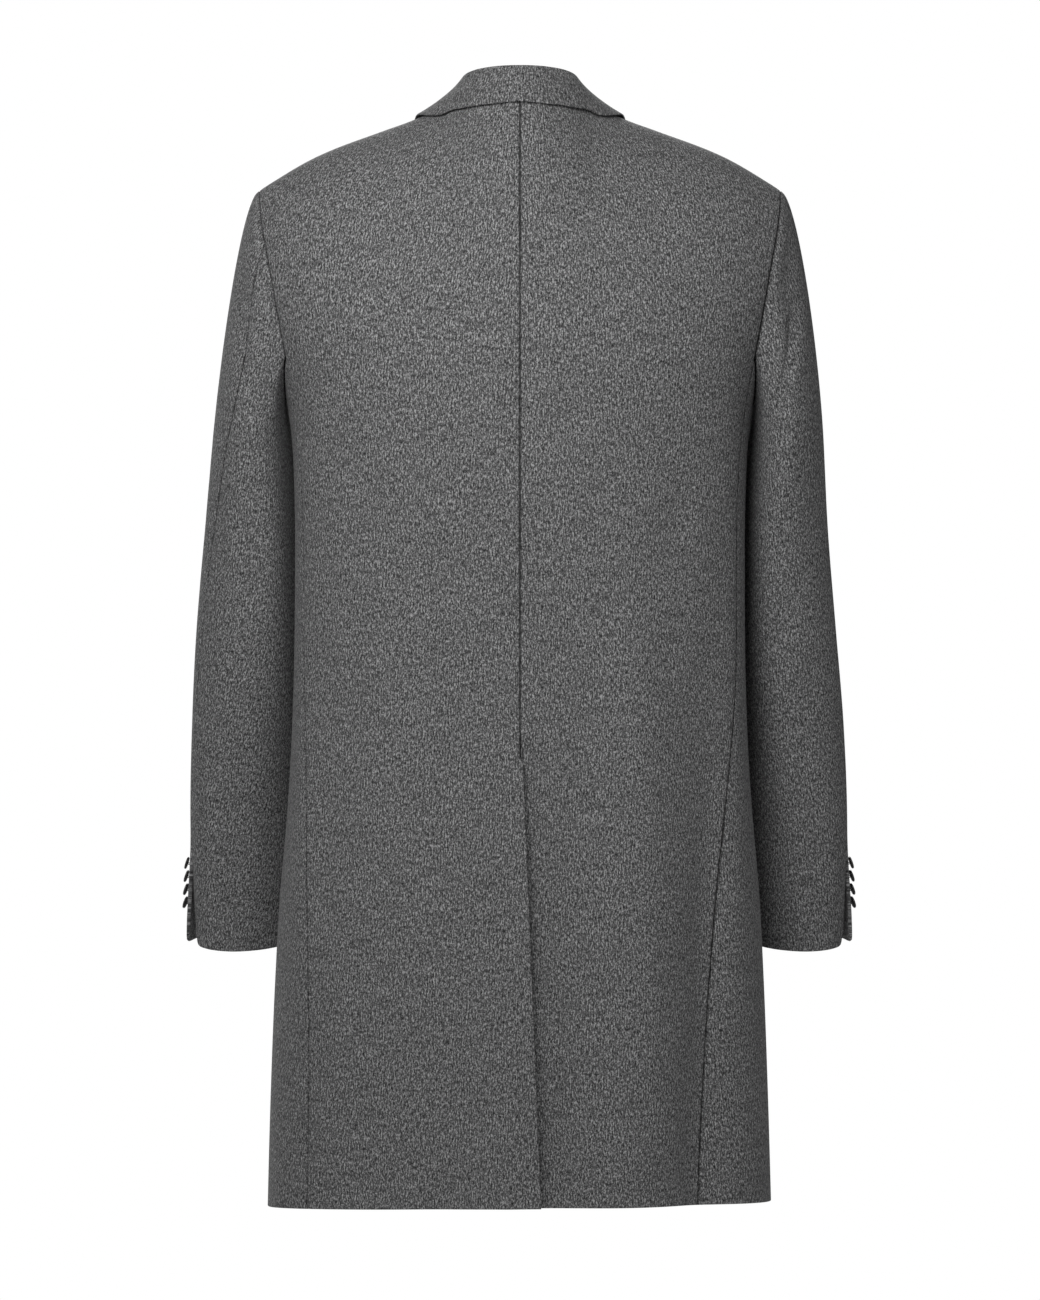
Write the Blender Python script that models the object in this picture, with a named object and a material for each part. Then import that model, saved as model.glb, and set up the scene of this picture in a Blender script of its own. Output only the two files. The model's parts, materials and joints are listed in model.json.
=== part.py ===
"""A single-breasted tailored midi coat, filled out to its worn shape and empty inside.

Metres, +Z up. The front faces -Y and the wearer's left is +X. The origin is the middle of the neck opening
at the height of the shoulder seams' inner ends, where the coat sits on the wearer.
"""

import math

import bmesh
import bpy
import numpy as np
from mathutils import Matrix, Vector

# Cloth and seams
CLOTH = 0.0020
COLLAR_CLOTH = 0.0016
SEAM_GAP = 0.0003
LAYER_LIFT = 0.0034  # visible face of a lapel or collar above the panel that it lies on

# Body heights
CHEST_Z = -0.250
HEM_Z = -0.960
HEM_RISE_BACK = 0.0065
HEM_RISE_FRONT = 0.0040
HEM_TILT = 0.010  # how much lower the hem hangs towards the wearer's left, for each metre across
VENT_TOP_Z = -0.565
BREAK_Z = -0.380
SQUARENESS = 2.4  # exponent of the body's rounded sections

# Centre edges
VENT_RUN_TOP = 0.0025  # how far the vent's edge is past the middle at its top
VENT_RUN_HEM = 0.0186  # and at the hem
VENT_NOTCH = 0.004  # height over which the seam opens into the vent
VENT_EASE = 0.024  # height above the vent over which its two layers part
UNDERLAP = 0.036
UNDERLAP_DROP = 0.030  # how far under the vent's top the under layer has its full width
FRONT_OVERLAP = 0.020
LAYER_SHARE = 0.0031  # how far each of two overlapping edges leaves the body's own surface
LAYER_FLAT = 0.004  # how far past the middle it stays there
BACK_LAYER_REACH = 0.090  # distance from the middle where it is back on the surface
FRONT_LAYER_REACH = 0.085
FRONT_LAYER_LOW = 0.070  # heights above the break between which the fronts come together
FRONT_LAYER_HIGH = 0.170
VENT_STAND = 0.0022  # how much further the vent's edges part at the hem

# Neck
NECK_X = 0.070
SHOULDER_GAP = 0.0008  # half the shoulder seam's gap, as a share of a panel's upper part
NAPE_Z = 0.016

# Armhole
SHOULDER_Z = -0.0637
ARMHOLE_LOW_Z = -0.256
ARM_JOIN_Z = -0.215

# Sleeves
SLEEVE_TOP_Z = -0.290
CUFF_Z = -0.7395
CUFF_RISE = 0.019
CAP_PULL = 0.25
CAP_OUT = 0.84  # the way in which the sleeve leaves its seam: out, to the front or the back, and down
CAP_TURN = 0.25
CAP_DOWN = 0.50
CUFF_VENT_Z = -0.630
CUFF_FLARE = 0.0085
CUFF_FLARE_SHARE = 0.13

# Collar
FOLD_RADIUS = 0.0034
FALL_BULGE = 0.0012
STAND_END = 0.3  # shares of the collar's width where its stand ends and where its fall starts
FOLD_END = 0.5
FOOT_IN = 0.0028  # how far inside the neck's edge, and above it, the stand starts
FOOT_UP = 0.0008
FRONT_SEAM_POWER = 1.7  # how the collar's seam speeds up down the front
GORGE_DIP = 0.006  # how far the collar's front ends bend down to the lapels
GORGE_DIP_FROM = 0.86
GORGE_DIP_AT = 0.62
GORGE_DIP_SPREAD = 0.3
GORGE_DIP_FORWARD = 0.4
COLLAR_END = 0.996
COLLAR_SECTIONS = 34
COLLAR_STOPS = (0.0, 0.15, 0.29, 0.305, 0.3525, 0.40, 0.4475, 0.495, 0.51, 0.6, 0.7, 0.8, 0.9, 1.0)

# Buttons
CUFF_BUTTON_RADIUS = 0.0056
CUFF_BUTTON_DEPTH = 0.0021
CUFF_BUTTON_TOP_Z = -0.6662
CUFF_BUTTON_PITCH = 0.0123
CUFF_BUTTON_INSET = 0.040  # share of the sleeve's girth from the vent's edge
CUFF_BUTTON_TILT = math.radians(15)
CUFF_BUTTONS = 4
FRONT_BUTTON_RADIUS = 0.0140
FRONT_BUTTON_DEPTH = 0.0036
FRONT_BUTTON_TOP_Z = -0.395
FRONT_BUTTON_PITCH = 0.125
FRONT_BUTTONS = 3
BUTTON_SIDES = 18
BUTTON_COLUMNS = ("radius", "depth")
BUTTON = (
    (0.00, 0.00),
    (0.86, 0.00),
    (1.00, 0.40),
    (0.95, 0.90),
    (0.80, 1.00),
    (0.62, 0.72),
    (0.00, 0.66),
)

BODY_COLUMNS = ("height", "half_width", "back", "front")
BODY = (
    (-0.960, 0.2213, 0.1470, 0.1500),
    (-0.860, 0.2185, 0.1415, 0.1455),
    (-0.760, 0.2150, 0.1360, 0.1405),
    (-0.690, 0.2115, 0.1320, 0.1370),
    (-0.600, 0.2035, 0.1275, 0.1335),
    (-0.520, 0.1980, 0.1245, 0.1300),
    (-0.440, 0.1955, 0.1240, 0.1285),
    (-0.340, 0.1970, 0.1285, 0.1325),
    (-0.250, 0.2070, 0.1330, 0.1360),
    (-0.200, 0.2220, 0.1345, 0.1350),
    (-0.130, 0.2450, 0.1335, 0.1300),
    (-0.060, 0.2600, 0.1290, 0.1230),
    (0.060, 0.2700, 0.1200, 0.1150),
)

# The shoulders' ridge, and where it would run on over the neck opening
RIDGE_COLUMNS = ("across", "height", "lean")
RIDGE = (
    (0.000, 0.0550, -0.0040),
    (0.040, 0.0380, -0.0020),
    (0.070, 0.0100, 0.0000),
    (0.095, -0.0020, -0.0030),
    (0.119, -0.0106, -0.0050),
    (0.186, -0.0370, -0.0060),
    (0.231, SHOULDER_Z, -0.0060),
)
NECK_LEAN = 0.049  # how far back of that ridge the back's neck edge rises

ARMHOLE_COLUMNS = ("height", "back", "front")
ARMHOLE = (
    (ARM_JOIN_Z, 0.2060, 0.1990),
    (-0.180, 0.2125, 0.2020),
    (-0.135, 0.2205, 0.2110),
    (-0.090, 0.2285, 0.2250),
    (SHOULDER_Z, 0.2310, 0.2310),
)

SIDE_SEAM_COLUMNS = ("height", "back_left", "back_right", "front")
SIDE_SEAM = (
    (-0.960, 0.1850, 0.1655, 0.2000),
    (-0.735, 0.1830, 0.1750, 0.1960),
    (-0.515, 0.1840, 0.1840, 0.1840),
    (-0.300, 0.1910, 0.1900, 0.1860),
    (ARM_JOIN_Z, 0.2060, 0.2060, 0.1990),
)

# Soft vertical folds: bearing from the centre back in degrees (wearer's left positive), depth at the hem
FOLD_COLUMNS = ("top_bearing", "hem_bearing", "spread", "top_z", "hem_depth")
FOLDS = (
    (-30.0, -31.0, 13.0, -0.330, 0.0065),
    (-60.0, -56.0, 12.0, -0.420, -0.0085),
    (-90.0, -86.0, 16.0, -0.500, 0.0008),
    (20.0, 26.0, 14.0, -0.600, -0.0035),
    (88.0, 76.0, 14.0, -0.550, 0.0030),
    (142.0, 146.0, 14.0, -0.420, 0.0055),
    (118.0, 120.0, 12.0, -0.500, -0.0050),
    (-138.0, -142.0, 14.0, -0.480, 0.0050),
    (-116.0, -114.0, 12.0, -0.560, -0.0045),
)

# The sleeve's girth: outer and inner sides, the middle and half of its depth, how far its sides lean out to the
# back, and how far its back itself does
SLEEVE_COLUMNS = ("height", "outer_left", "outer_right", "inner", "middle", "half_depth", "lean", "back_lean")
SLEEVE = (
    (CUFF_Z, 0.2905, 0.2895, 0.1985, -0.0850, 0.0510, 0.20, 0.20),
    (-0.630, 0.2945, 0.2925, 0.1945, -0.0690, 0.0545, 0.24, 0.20),
    (-0.540, 0.2928, 0.2890, 0.1920, -0.0530, 0.0580, 0.26, 0.09),
    (-0.450, 0.2882, 0.2815, 0.1895, -0.0400, 0.0630, 0.26, 0.01),
    (-0.360, 0.2800, 0.2740, 0.1930, -0.0290, 0.0675, 0.22, -0.02),
    (SLEEVE_TOP_Z, 0.2730, 0.2697, 0.2005, -0.0190, 0.0710, 0.14, -0.01),
)

# Share of the girth, from the outer side towards the back, where the sleeve's two seams run
SLEEVE_SEAM_COLUMNS = ("height", "elbow_left", "elbow_right", "fore")
SLEEVE_SEAM = (
    (CUFF_Z, 0.075, 0.075, 0.640),
    (-0.540, 0.086, 0.066, 0.655),
    (-0.315, 0.131, 0.050, 0.680),
    (-0.230, 0.182, 0.046, 0.690),
    (SHOULDER_Z, 0.174, 0.045, 0.700),
)

# Half the collar from the centre back to its front end, in plan, with the fold's height
COLLAR_COLUMNS = ("share", "fold_x", "fold_y", "fold_z", "edge_x", "edge_y")
COLLAR = (
    (0.00, 0.0000, 0.0640, 0.0380, 0.0000, 0.0878),
    (0.10, 0.0137, 0.0614, 0.0379, 0.0197, 0.0836),
    (0.20, 0.0265, 0.0545, 0.0372, 0.0375, 0.0716),
    (0.30, 0.0378, 0.0438, 0.0359, 0.0489, 0.0601),
    (0.40, 0.0462, 0.0290, 0.0335, 0.0605, 0.0455),
    (0.48, 0.0497, 0.0140, 0.0303, 0.0740, 0.0338),
    (0.55, 0.0515, 0.0000, 0.0265, 0.0838, 0.0200),
    (0.78, 0.0545, -0.0520, -0.0060, 0.0968, -0.0440),
    (1.00, 0.0500, -0.0860, -0.0400, 0.1090, -0.0760),
)
COLLAR_SHOULDER = 0.55  # share at which the collar crosses the shoulder seam
COLLAR_END_Z = -0.050

LAPEL_COLUMNS = ("share", "outer_x", "outer_z")
LAPEL = (
    (0.00, -0.006, -0.362),
    (0.25, 0.044, -0.290),
    (0.50, 0.083, -0.222),
    (0.75, 0.114, -0.160),
    (1.00, 0.137, -0.108),
)
LAPEL_LOW_Z = -0.366
LAPEL_INSET = 0.0004
GORGE_Z = -0.064

# Rows and columns of points
LOWER_ROWS = 15
VENT_ROW_STEP = 0.045
VENT_ROW_CLOSE = 0.010
ARM_ROWS = 9
SIDE_COLUMNS = 9
NECK_COLUMNS = 5
SHOULDER_COLUMNS = 11
CAP_ROWS = 8
TUBE_ROWS = 14
LAPEL_ACROSS = 7
LAPEL_UP = 12
WOOL = ("wool_flannel", (0.105, 0.105, 0.106), 0.92)
HORN = ("button_horn", (0.012, 0.012, 0.013), 0.32)


def through(knots, values):
    """A smooth curve through a table's rows, flat beyond its ends."""
    knots = np.asarray(knots, float)
    values = np.asarray(values, float)
    slopes = np.gradient(values, knots)

    def at(where):
        x = np.clip(where, knots[0], knots[-1])
        i = np.clip(np.searchsorted(knots, x) - 1, 0, len(knots) - 2)
        span = knots[i + 1] - knots[i]
        t = (x - knots[i]) / span
        rise = (t * t * (3 - 2 * t)) * (values[i + 1] - values[i])
        bend = t * (1 - t) * ((1 - t) * slopes[i] - t * slopes[i + 1]) * span
        return values[i] + rise + bend

    return at


def curves(columns, rows):
    """One smooth curve for each named column, over the first column."""
    ordered = np.array(sorted(rows), float)
    return {name: through(ordered[:, 0], ordered[:, k]) for k, name in enumerate(columns) if k}


def smooth(low, high, x):
    """0 below low, 1 above high, and a soft step between."""
    t = np.clip((np.asarray(x, float) - low) / (high - low), 0, 1)
    return t * t * (3 - 2 * t)


def unit(vectors):
    return vectors / np.linalg.norm(vectors, axis=-1, keepdims=True)


body = curves(BODY_COLUMNS, BODY)
ridge = curves(RIDGE_COLUMNS, RIDGE + tuple((-row[0], *row[1:]) for row in RIDGE if row[0] > 0))
armhole_edge = curves(ARMHOLE_COLUMNS, ARMHOLE)
side_seam = curves(SIDE_SEAM_COLUMNS, SIDE_SEAM)
sleeve_form = curves(SLEEVE_COLUMNS, SLEEVE)
sleeve_seam = curves(SLEEVE_SEAM_COLUMNS, SLEEVE_SEAM)
collar_form = curves(
    COLLAR_COLUMNS,
    COLLAR + tuple((-share, -fx, fy, fz, -ex, ey) for share, fx, fy, fz, ex, ey in COLLAR if share > 0),
)
lapel_form = curves(LAPEL_COLUMNS, LAPEL)


# The body's surface

def folded(x, y, z):
    """The body's points with its soft folds pushed in or out along the bearing from the coat's middle."""
    bearing = np.degrees(np.arctan2(x, y))
    push = np.zeros_like(bearing)
    for top_bearing, hem_bearing, spread, top_z, hem_depth in FOLDS:
        down = np.clip((top_z - z) / (top_z - HEM_Z), 0, 1)
        centre = top_bearing + (hem_bearing - top_bearing) * down
        apart = (bearing - centre + 180) % 360 - 180
        push = push + hem_depth * smooth(0, 1, down) * np.exp(-((apart / spread) ** 2))
    turn = np.radians(bearing)
    return np.stack([x + push * np.sin(turn), y + push * np.cos(turn), z], axis=-1)


def ridge_depth(x, face):
    within = np.clip(1 - (x / NECK_X) ** 2, 0, 1)
    return ridge["lean"](x) + np.where(face > 0, NECK_LEAN * within**2, 0)


def arched(x, z, ring):
    """Depth of the body at a height, where the section bends over to the shoulder's ridge above the chest."""
    top = ridge["height"](x)
    rise = np.clip((z - CHEST_Z) / (top - CHEST_Z), 0, 1)
    lean = ridge_depth(x, ring)
    return lean + (ring - lean) * np.sqrt(1 - rise * rise)


def section_depth(x, z, face):
    """Depth of the rounded section, before the shoulder bends it over: face is 1 at the back, -1 in front."""
    reach = np.where(face > 0, body["back"](z), body["front"](z))
    share = np.clip(np.abs(x) / body["half_width"](z), 0, 0.9999)
    return face * reach * (1 - share**SQUARENESS) ** (1 / SQUARENESS)


def torso(x, level, face):
    """A point of the back or the front.

    A level below 0 is metres under the chest, and above 0 an angle up to the ridge.
    """
    x, level = np.broadcast_arrays(np.asarray(x, float), np.asarray(level, float))
    turn = np.clip(level, 0, None)
    top = ridge["height"](x)
    z = np.where(level < 0, CHEST_Z + level, CHEST_Z + (top - CHEST_Z) * np.sin(turn))
    lean = ridge_depth(x, face)
    y = lean + (section_depth(x, z, face) - lean) * np.cos(turn)
    return folded(x, y, z)


def torso_at(x, z, face):
    """A point of the back or the front at a given height."""
    x, z = np.broadcast_arrays(np.asarray(x, float), np.asarray(z, float))
    rise = np.clip((z - CHEST_Z) / (ridge["height"](x) - CHEST_Z), 0, 1)
    return torso(x, np.where(z < CHEST_Z, z - CHEST_Z, np.arcsin(rise)), face)


def flank_section(share, z, sign):
    """Place in plan of the side panel's rounded section: share 0 at its back seam and 1 at its front seam."""
    half = body["half_width"](z)
    name = "back_left" if sign > 0 else "back_right"
    power = SQUARENESS / 2
    start = np.arcsin((side_seam[name](z) / half) ** power)
    end = math.pi - np.arcsin((side_seam["front"](z) / half) ** power)
    turn = start + (end - start) * share
    x = half * np.sin(turn) ** (1 / power)
    reach = np.where(np.cos(turn) > 0, body["back"](z), body["front"](z))
    return sign * x, reach * np.sign(np.cos(turn)) * np.abs(np.cos(turn)) ** (1 / power)


def flank(share, z, sign):
    """A point of the side panel."""
    x, ring = flank_section(share, z, sign)
    return folded(x, arched(x, z, ring), z)


def hem_height(x, y):
    """The hem, a little higher at the middle of the back and of the front than at the sides."""
    back = HEM_RISE_BACK * y / body["back"](HEM_Z)
    front = -HEM_RISE_FRONT * y / body["front"](HEM_Z)
    return HEM_Z + np.where(y > 0, back, front) - HEM_TILT * x


# Panels of the body, each a function of a share across and a share up, where 1 is the chest and 2 the top

def rows_between(edges, top_turn, s, t, face):
    """Points of a panel between its two edges, which are given as x at a height."""
    s, t = np.broadcast_arrays(np.asarray(s, float), np.asarray(t, float))
    inner, outer = edges(np.full_like(s, HEM_Z))
    foot = inner + (outer - inner) * s
    hem = hem_height(foot, section_depth(foot, HEM_Z, face))
    z = np.where(t < 1, CHEST_Z + (hem - CHEST_Z) * (1 - t), CHEST_Z)
    up = np.clip(t - 1, 0, None)
    for _ in range(8):
        inner, outer = edges(z)
        x = inner + (outer - inner) * s
        turn = up * top_turn(x)
        top = ridge["height"](x)
        z = np.where(t < 1, z, CHEST_Z + (top - CHEST_Z) * np.sin(turn))
    return x, np.where(t < 1, z - CHEST_Z, turn)


def neck_turn(x):
    """How far over the back reaches: to the ridge at the shoulder seam, to the neck seam between them."""
    across = np.clip(np.abs(x) / NECK_X, 0, 1)
    neck = NAPE_Z + (ridge["height"](NECK_X) - NAPE_Z) * across**2
    rise = (neck - CHEST_Z) / (ridge["height"](x) - CHEST_Z)
    return np.where(np.abs(x) < NECK_X, np.arcsin(np.clip(rise, 0, 1)), math.pi / 2)


def shoulder_turn(x):
    return np.full_like(x, math.pi / 2)


def vent_share(z):
    return smooth(VENT_TOP_Z + VENT_EASE, VENT_TOP_Z + VENT_NOTCH, z)


def layer_push(x, z, sign, reach):
    """How far an overlapping edge leaves the body's surface, fading away from the middle."""
    stand = VENT_STAND * np.clip((VENT_TOP_Z - z) / (VENT_TOP_Z - HEM_Z), 0, 1)
    return sign * (LAYER_SHARE + stand) * (1 - smooth(LAYER_FLAT, reach, sign * x))


def back_edges(sign):
    """Centre edge and side edge of one half of the back."""
    side = side_seam["back_left" if sign > 0 else "back_right"]

    def edges(z):
        below = np.clip((VENT_TOP_Z - z) / (VENT_TOP_Z - HEM_Z), 0, 1)
        if sign > 0:
            started = smooth(VENT_TOP_Z + VENT_NOTCH / 4, VENT_TOP_Z - VENT_NOTCH, z)
            centre = SEAM_GAP / 2 - started * (VENT_RUN_TOP + (VENT_RUN_HEM - VENT_RUN_TOP) * below)
        else:
            started = smooth(VENT_TOP_Z - VENT_NOTCH, VENT_TOP_Z - UNDERLAP_DROP, z)
            centre = -SEAM_GAP / 2 + started * UNDERLAP
        outer = np.where(z < ARM_JOIN_Z, side(z), armhole_edge["back"](z)) - SEAM_GAP / 2
        return centre, sign * outer

    return edges


def back_half(sign):
    """The back's left (sign 1) or right (-1) half. The left half laps over the right at the vent."""
    edges = back_edges(sign)

    def point(s, t):
        x, level = rows_between(edges, neck_turn, s, t, 1)
        p = torso(x, level, 1)
        p[..., 1] += layer_push(x, p[..., 2], sign, BACK_LAYER_REACH) * vent_share(p[..., 2])
        return p

    return point


def roll_x(z):
    """The lapel's roll line, from the break over the middle to the neck."""
    up = np.clip((z - BREAK_Z) / (ridge["height"](NECK_X) - BREAK_Z), 0, 1)
    return -FRONT_OVERLAP + (NECK_X + FRONT_OVERLAP) * up


def front_edges(sign):
    def edges(z):
        outer = np.where(z < ARM_JOIN_Z, side_seam["front"](z), armhole_edge["front"](z)) - SEAM_GAP / 2
        return sign * roll_x(z), sign * outer

    return edges


def front_push(x, z, sign):
    """The left front laps over the right from the break down."""
    fade = smooth(BREAK_Z + FRONT_LAYER_HIGH, BREAK_Z + FRONT_LAYER_LOW, z)
    return -layer_push(x, np.full_like(z, VENT_TOP_Z), sign, FRONT_LAYER_REACH) * fade


def front_half(sign):
    edges = front_edges(sign)

    def point(s, t):
        x, level = rows_between(edges, shoulder_turn, s, t, -1)
        p = torso(x, level, -1)
        p[..., 1] += front_push(x, p[..., 2], sign)
        return p

    return point


def side_panel(sign):
    """The panel under the arm, from the hem up to the armhole's low curve."""

    def point(s, t):
        s, t = np.broadcast_arrays(np.asarray(s, float), np.asarray(t, float))
        x, y = flank_section(s, np.full_like(s, HEM_Z), sign)
        hem = hem_height(x, y)
        top = armhole_height(JOIN_TURN + (1 - 2 * JOIN_TURN) * s)
        z = np.where(t < 1, CHEST_Z + (hem - CHEST_Z) * (1 - t), CHEST_Z + (ARM_JOIN_Z - CHEST_Z) * (t - 1))
        z = hem + (z - hem) * (top - hem) / (ARM_JOIN_Z - hem)
        return flank(s, z, sign)

    return point


# The armhole and the sleeve

def armhole_height(share):
    """Height of the armhole's seam at a share round it: 0 at the shoulder, a half under the arm."""
    middle = (SHOULDER_Z + ARMHOLE_LOW_Z) / 2
    return middle + (SHOULDER_Z - middle) * np.cos(2 * math.pi * share)


JOIN_TURN = math.acos(
    (ARM_JOIN_Z - (SHOULDER_Z + ARMHOLE_LOW_Z) / 2) / ((SHOULDER_Z - ARMHOLE_LOW_Z) / 2)
) / (2 * math.pi)


def armhole(share, sign):
    """A point of the armhole's seam, which the sleeve is set into."""
    share = np.asarray(share, float) % 1
    z = armhole_height(share)
    back = torso_at(sign * armhole_edge["back"](z), z, 1)
    front = torso_at(sign * armhole_edge["front"](z), z, -1)
    under = flank(np.clip((share - JOIN_TURN) / (1 - 2 * JOIN_TURN), 0, 1), z, sign)
    pick = np.where(share < JOIN_TURN, 0, np.where(share > 1 - JOIN_TURN, 1, 2))[..., None]
    return np.where(pick == 0, back, np.where(pick == 1, front, under))


def sleeve_ring(share, z, sign):
    """A point of the sleeve's girth at a height: share 0 outside, a quarter at the back, a half inside."""
    outer = sleeve_form["outer_left" if sign > 0 else "outer_right"](z)
    inner = sleeve_form["inner"](z)
    turn = 2 * math.pi * share
    half_depth = sleeve_form["half_depth"](z)
    lean = sleeve_form["lean"](z)
    half_width = np.sqrt(((outer - inner) / 2) ** 2 - (lean * half_depth) ** 2)
    slant = half_depth * (lean + (sleeve_form["back_lean"](z) - lean) * smooth(0, 1, np.sin(turn)))
    x = (outer + inner) / 2 + half_width * np.cos(turn) + slant * np.sin(turn)
    y = sleeve_form["middle"](z) + half_depth * np.sin(turn)
    return np.stack([sign * x, y, z + np.zeros_like(x)], axis=-1)


def sleeve_surface(share, down, sign):
    """The sleeve: down runs from 0 at the armhole over 1 at the top of the tube to 2 at the cuff."""
    share, down = np.broadcast_arrays(np.asarray(share, float), np.asarray(down, float))
    turn = 2 * math.pi * share
    start = armhole(share, sign)
    tube = np.clip(down - 1, 0, 1.2)
    rise = CUFF_RISE * (0.5 - 0.5 * np.sin(turn)) * tube**3
    z = SLEEVE_TOP_Z + (CUFF_Z - SLEEVE_TOP_Z) * tube + rise
    ring = sleeve_ring(share, z, sign)
    step = 0.01
    end = sleeve_ring(share, np.full_like(share, SLEEVE_TOP_Z), sign)
    below = sleeve_ring(share, np.full_like(share, SLEEVE_TOP_Z - step), sign)
    chord = np.linalg.norm(end - start, axis=-1, keepdims=True)
    level = np.ones_like(turn)
    leave = unit(np.stack([CAP_OUT * sign * level, -CAP_TURN * np.sin(turn), -CAP_DOWN * level], axis=-1))
    arrive = unit(below - end)
    w = np.clip(down, -0.2, 1)[..., None]
    cap = (
        (2 * w**3 - 3 * w**2 + 1) * start
        + (w**3 - 2 * w**2 + w) * CAP_PULL * chord * leave
        + (3 * w**2 - 2 * w**3) * end
        + (w**3 - w**2) * chord * arrive
    )
    set_in = SEAM_GAP * leave
    return np.where((down < 1)[..., None], cap + set_in, ring + set_in)


def sleeve_height(down):
    """The height that the seams' tables are read at."""
    cap = SHOULDER_Z + (SLEEVE_TOP_Z - SHOULDER_Z) * np.clip(down, 0, 1)
    return cap + (CUFF_Z - SLEEVE_TOP_Z) * np.clip(down - 1, 0, 1)


def elbow_seam(down, sign):
    return sleeve_seam["elbow_left" if sign > 0 else "elbow_right"](sleeve_height(down))


def fore_seam(down):
    return sleeve_seam["fore"](sleeve_height(down))


def girth_gap(down):
    """Half a seam's gap as a share of the girth."""
    return SEAM_GAP / (4 * sleeve_form["half_depth"](sleeve_height(down)))


def top_sleeve(sign):
    """The outer half, from the fore-arm seam to the elbow seam, where its cuff end flares."""

    def point(s, t):
        s, t = np.broadcast_arrays(np.asarray(s, float), np.asarray(t, float))
        gap = girth_gap(t)
        first = fore_seam(t) - 1 + gap
        last = elbow_seam(t, sign) - gap
        share = first + (last - first) * s
        p = sleeve_surface(share, t, sign)
        near = smooth(last - CUFF_FLARE_SHARE, last, share)
        flare = CUFF_FLARE * near * smooth(CUFF_VENT_Z, CUFF_Z, p[..., 2])
        p[..., 0] += sign * flare
        return p

    return point


def under_sleeve(sign):
    """The inner half, from the elbow seam behind the arm to the fore-arm seam."""

    def point(s, t):
        s, t = np.broadcast_arrays(np.asarray(s, float), np.asarray(t, float))
        gap = girth_gap(t)
        first = elbow_seam(t, sign) + gap
        last = fore_seam(t) - gap
        return sleeve_surface(first + (last - first) * s, t, sign)

    return point


# Lapels and collar

def lapel(sign):
    """The turned-back front edge, lying on the front: t runs from the break up to the gorge."""

    def point(s, t):
        s, t = np.broadcast_arrays(np.asarray(s, float), np.asarray(t, float))
        roll_z = LAPEL_LOW_Z + (GORGE_Z - LAPEL_LOW_Z) * t
        inner = roll_x(roll_z) + LAPEL_INSET
        x = inner + (lapel_form["outer_x"](t) - inner) * s
        z = roll_z + (lapel_form["outer_z"](t) - roll_z) * s
        return lying_on_front(sign * x, z, sign, LAYER_LIFT)

    return point


def lying_on_front(x, z, sign, lift):
    """Points of a front's surface, moved out."""
    step = 0.0005

    def surface(px, pz):
        p = torso_at(px, pz, -1)
        p[..., 1] += front_push(px, pz, sign)
        return p

    across = surface(x + step, z) - surface(x - step, z)
    along = surface(x, z + step) - surface(x, z - step)
    return surface(x, z) + lift * unit(np.cross(across, along))


def top_height(x, y):
    """Height of the shoulders' upper surface at a place in plan."""
    face = np.where(y > ridge["lean"](x), 1, -1)
    z = ridge["height"](x) - 0.02
    lean = ridge_depth(x, face)
    for _ in range(12):
        ring = section_depth(x, z, face)
        cosine = np.clip((y - lean) / (ring - lean), 0, 1)
        z = CHEST_Z + (ridge["height"](x) - CHEST_Z) * np.sqrt(1 - cosine**2)
    return z


def plan_normal(x, y):
    """The way out of the shoulders' upper surface at a place in plan."""
    step = 0.001
    slope_x = (top_height(x + step, y) - top_height(x - step, y)) / (2 * step)
    slope_y = (top_height(x, y + step) - top_height(x, y - step)) / (2 * step)
    return unit(np.stack([-slope_x, -slope_y, np.ones_like(slope_x)], axis=-1))


def neck_line(at):
    """The neck's edge at a share from the centre back: the back's neck seam, then the front's roll line."""
    x = NECK_X * np.clip(at / COLLAR_SHOULDER, 0, 1)
    back = torso(x, neck_turn(x), 1)
    down = np.clip((at - COLLAR_SHOULDER) / (1 - COLLAR_SHOULDER), 0, 1)
    z = ridge["height"](NECK_X) + (COLLAR_END_Z - ridge["height"](NECK_X)) * down**FRONT_SEAM_POWER
    front = torso_at(roll_x(z), z, -1)
    return np.where((at < COLLAR_SHOULDER)[..., None], back, front)


def fold_line(share):
    return np.stack([collar_form[name](share) for name in ("fold_x", "fold_y", "fold_z")], axis=-1)


def collar_lines(share):
    """Neck seam, fold and outer edge of the collar: share runs from -1 at its right end to 1 at its left."""
    x = collar_form["edge_x"](share)
    y = collar_form["edge_y"](share)
    edge = np.stack([x, y, top_height(x, y)], axis=-1) + LAYER_LIFT * plan_normal(x, y)
    seam = neck_line(np.abs(share))
    seam[..., 0] *= np.where(share < 0, -1, 1)
    return seam, fold_line(share), edge


def touching(step, out, up, side):
    """Angle at which a line from the end of a step touches the fold's round, in the collar's section."""
    across = (step * out).sum(axis=-1, keepdims=True)
    rise = (step * up).sum(axis=-1, keepdims=True)
    return np.arctan2(rise, across) + side * np.arccos(FOLD_RADIUS / np.hypot(across, rise))


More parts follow.
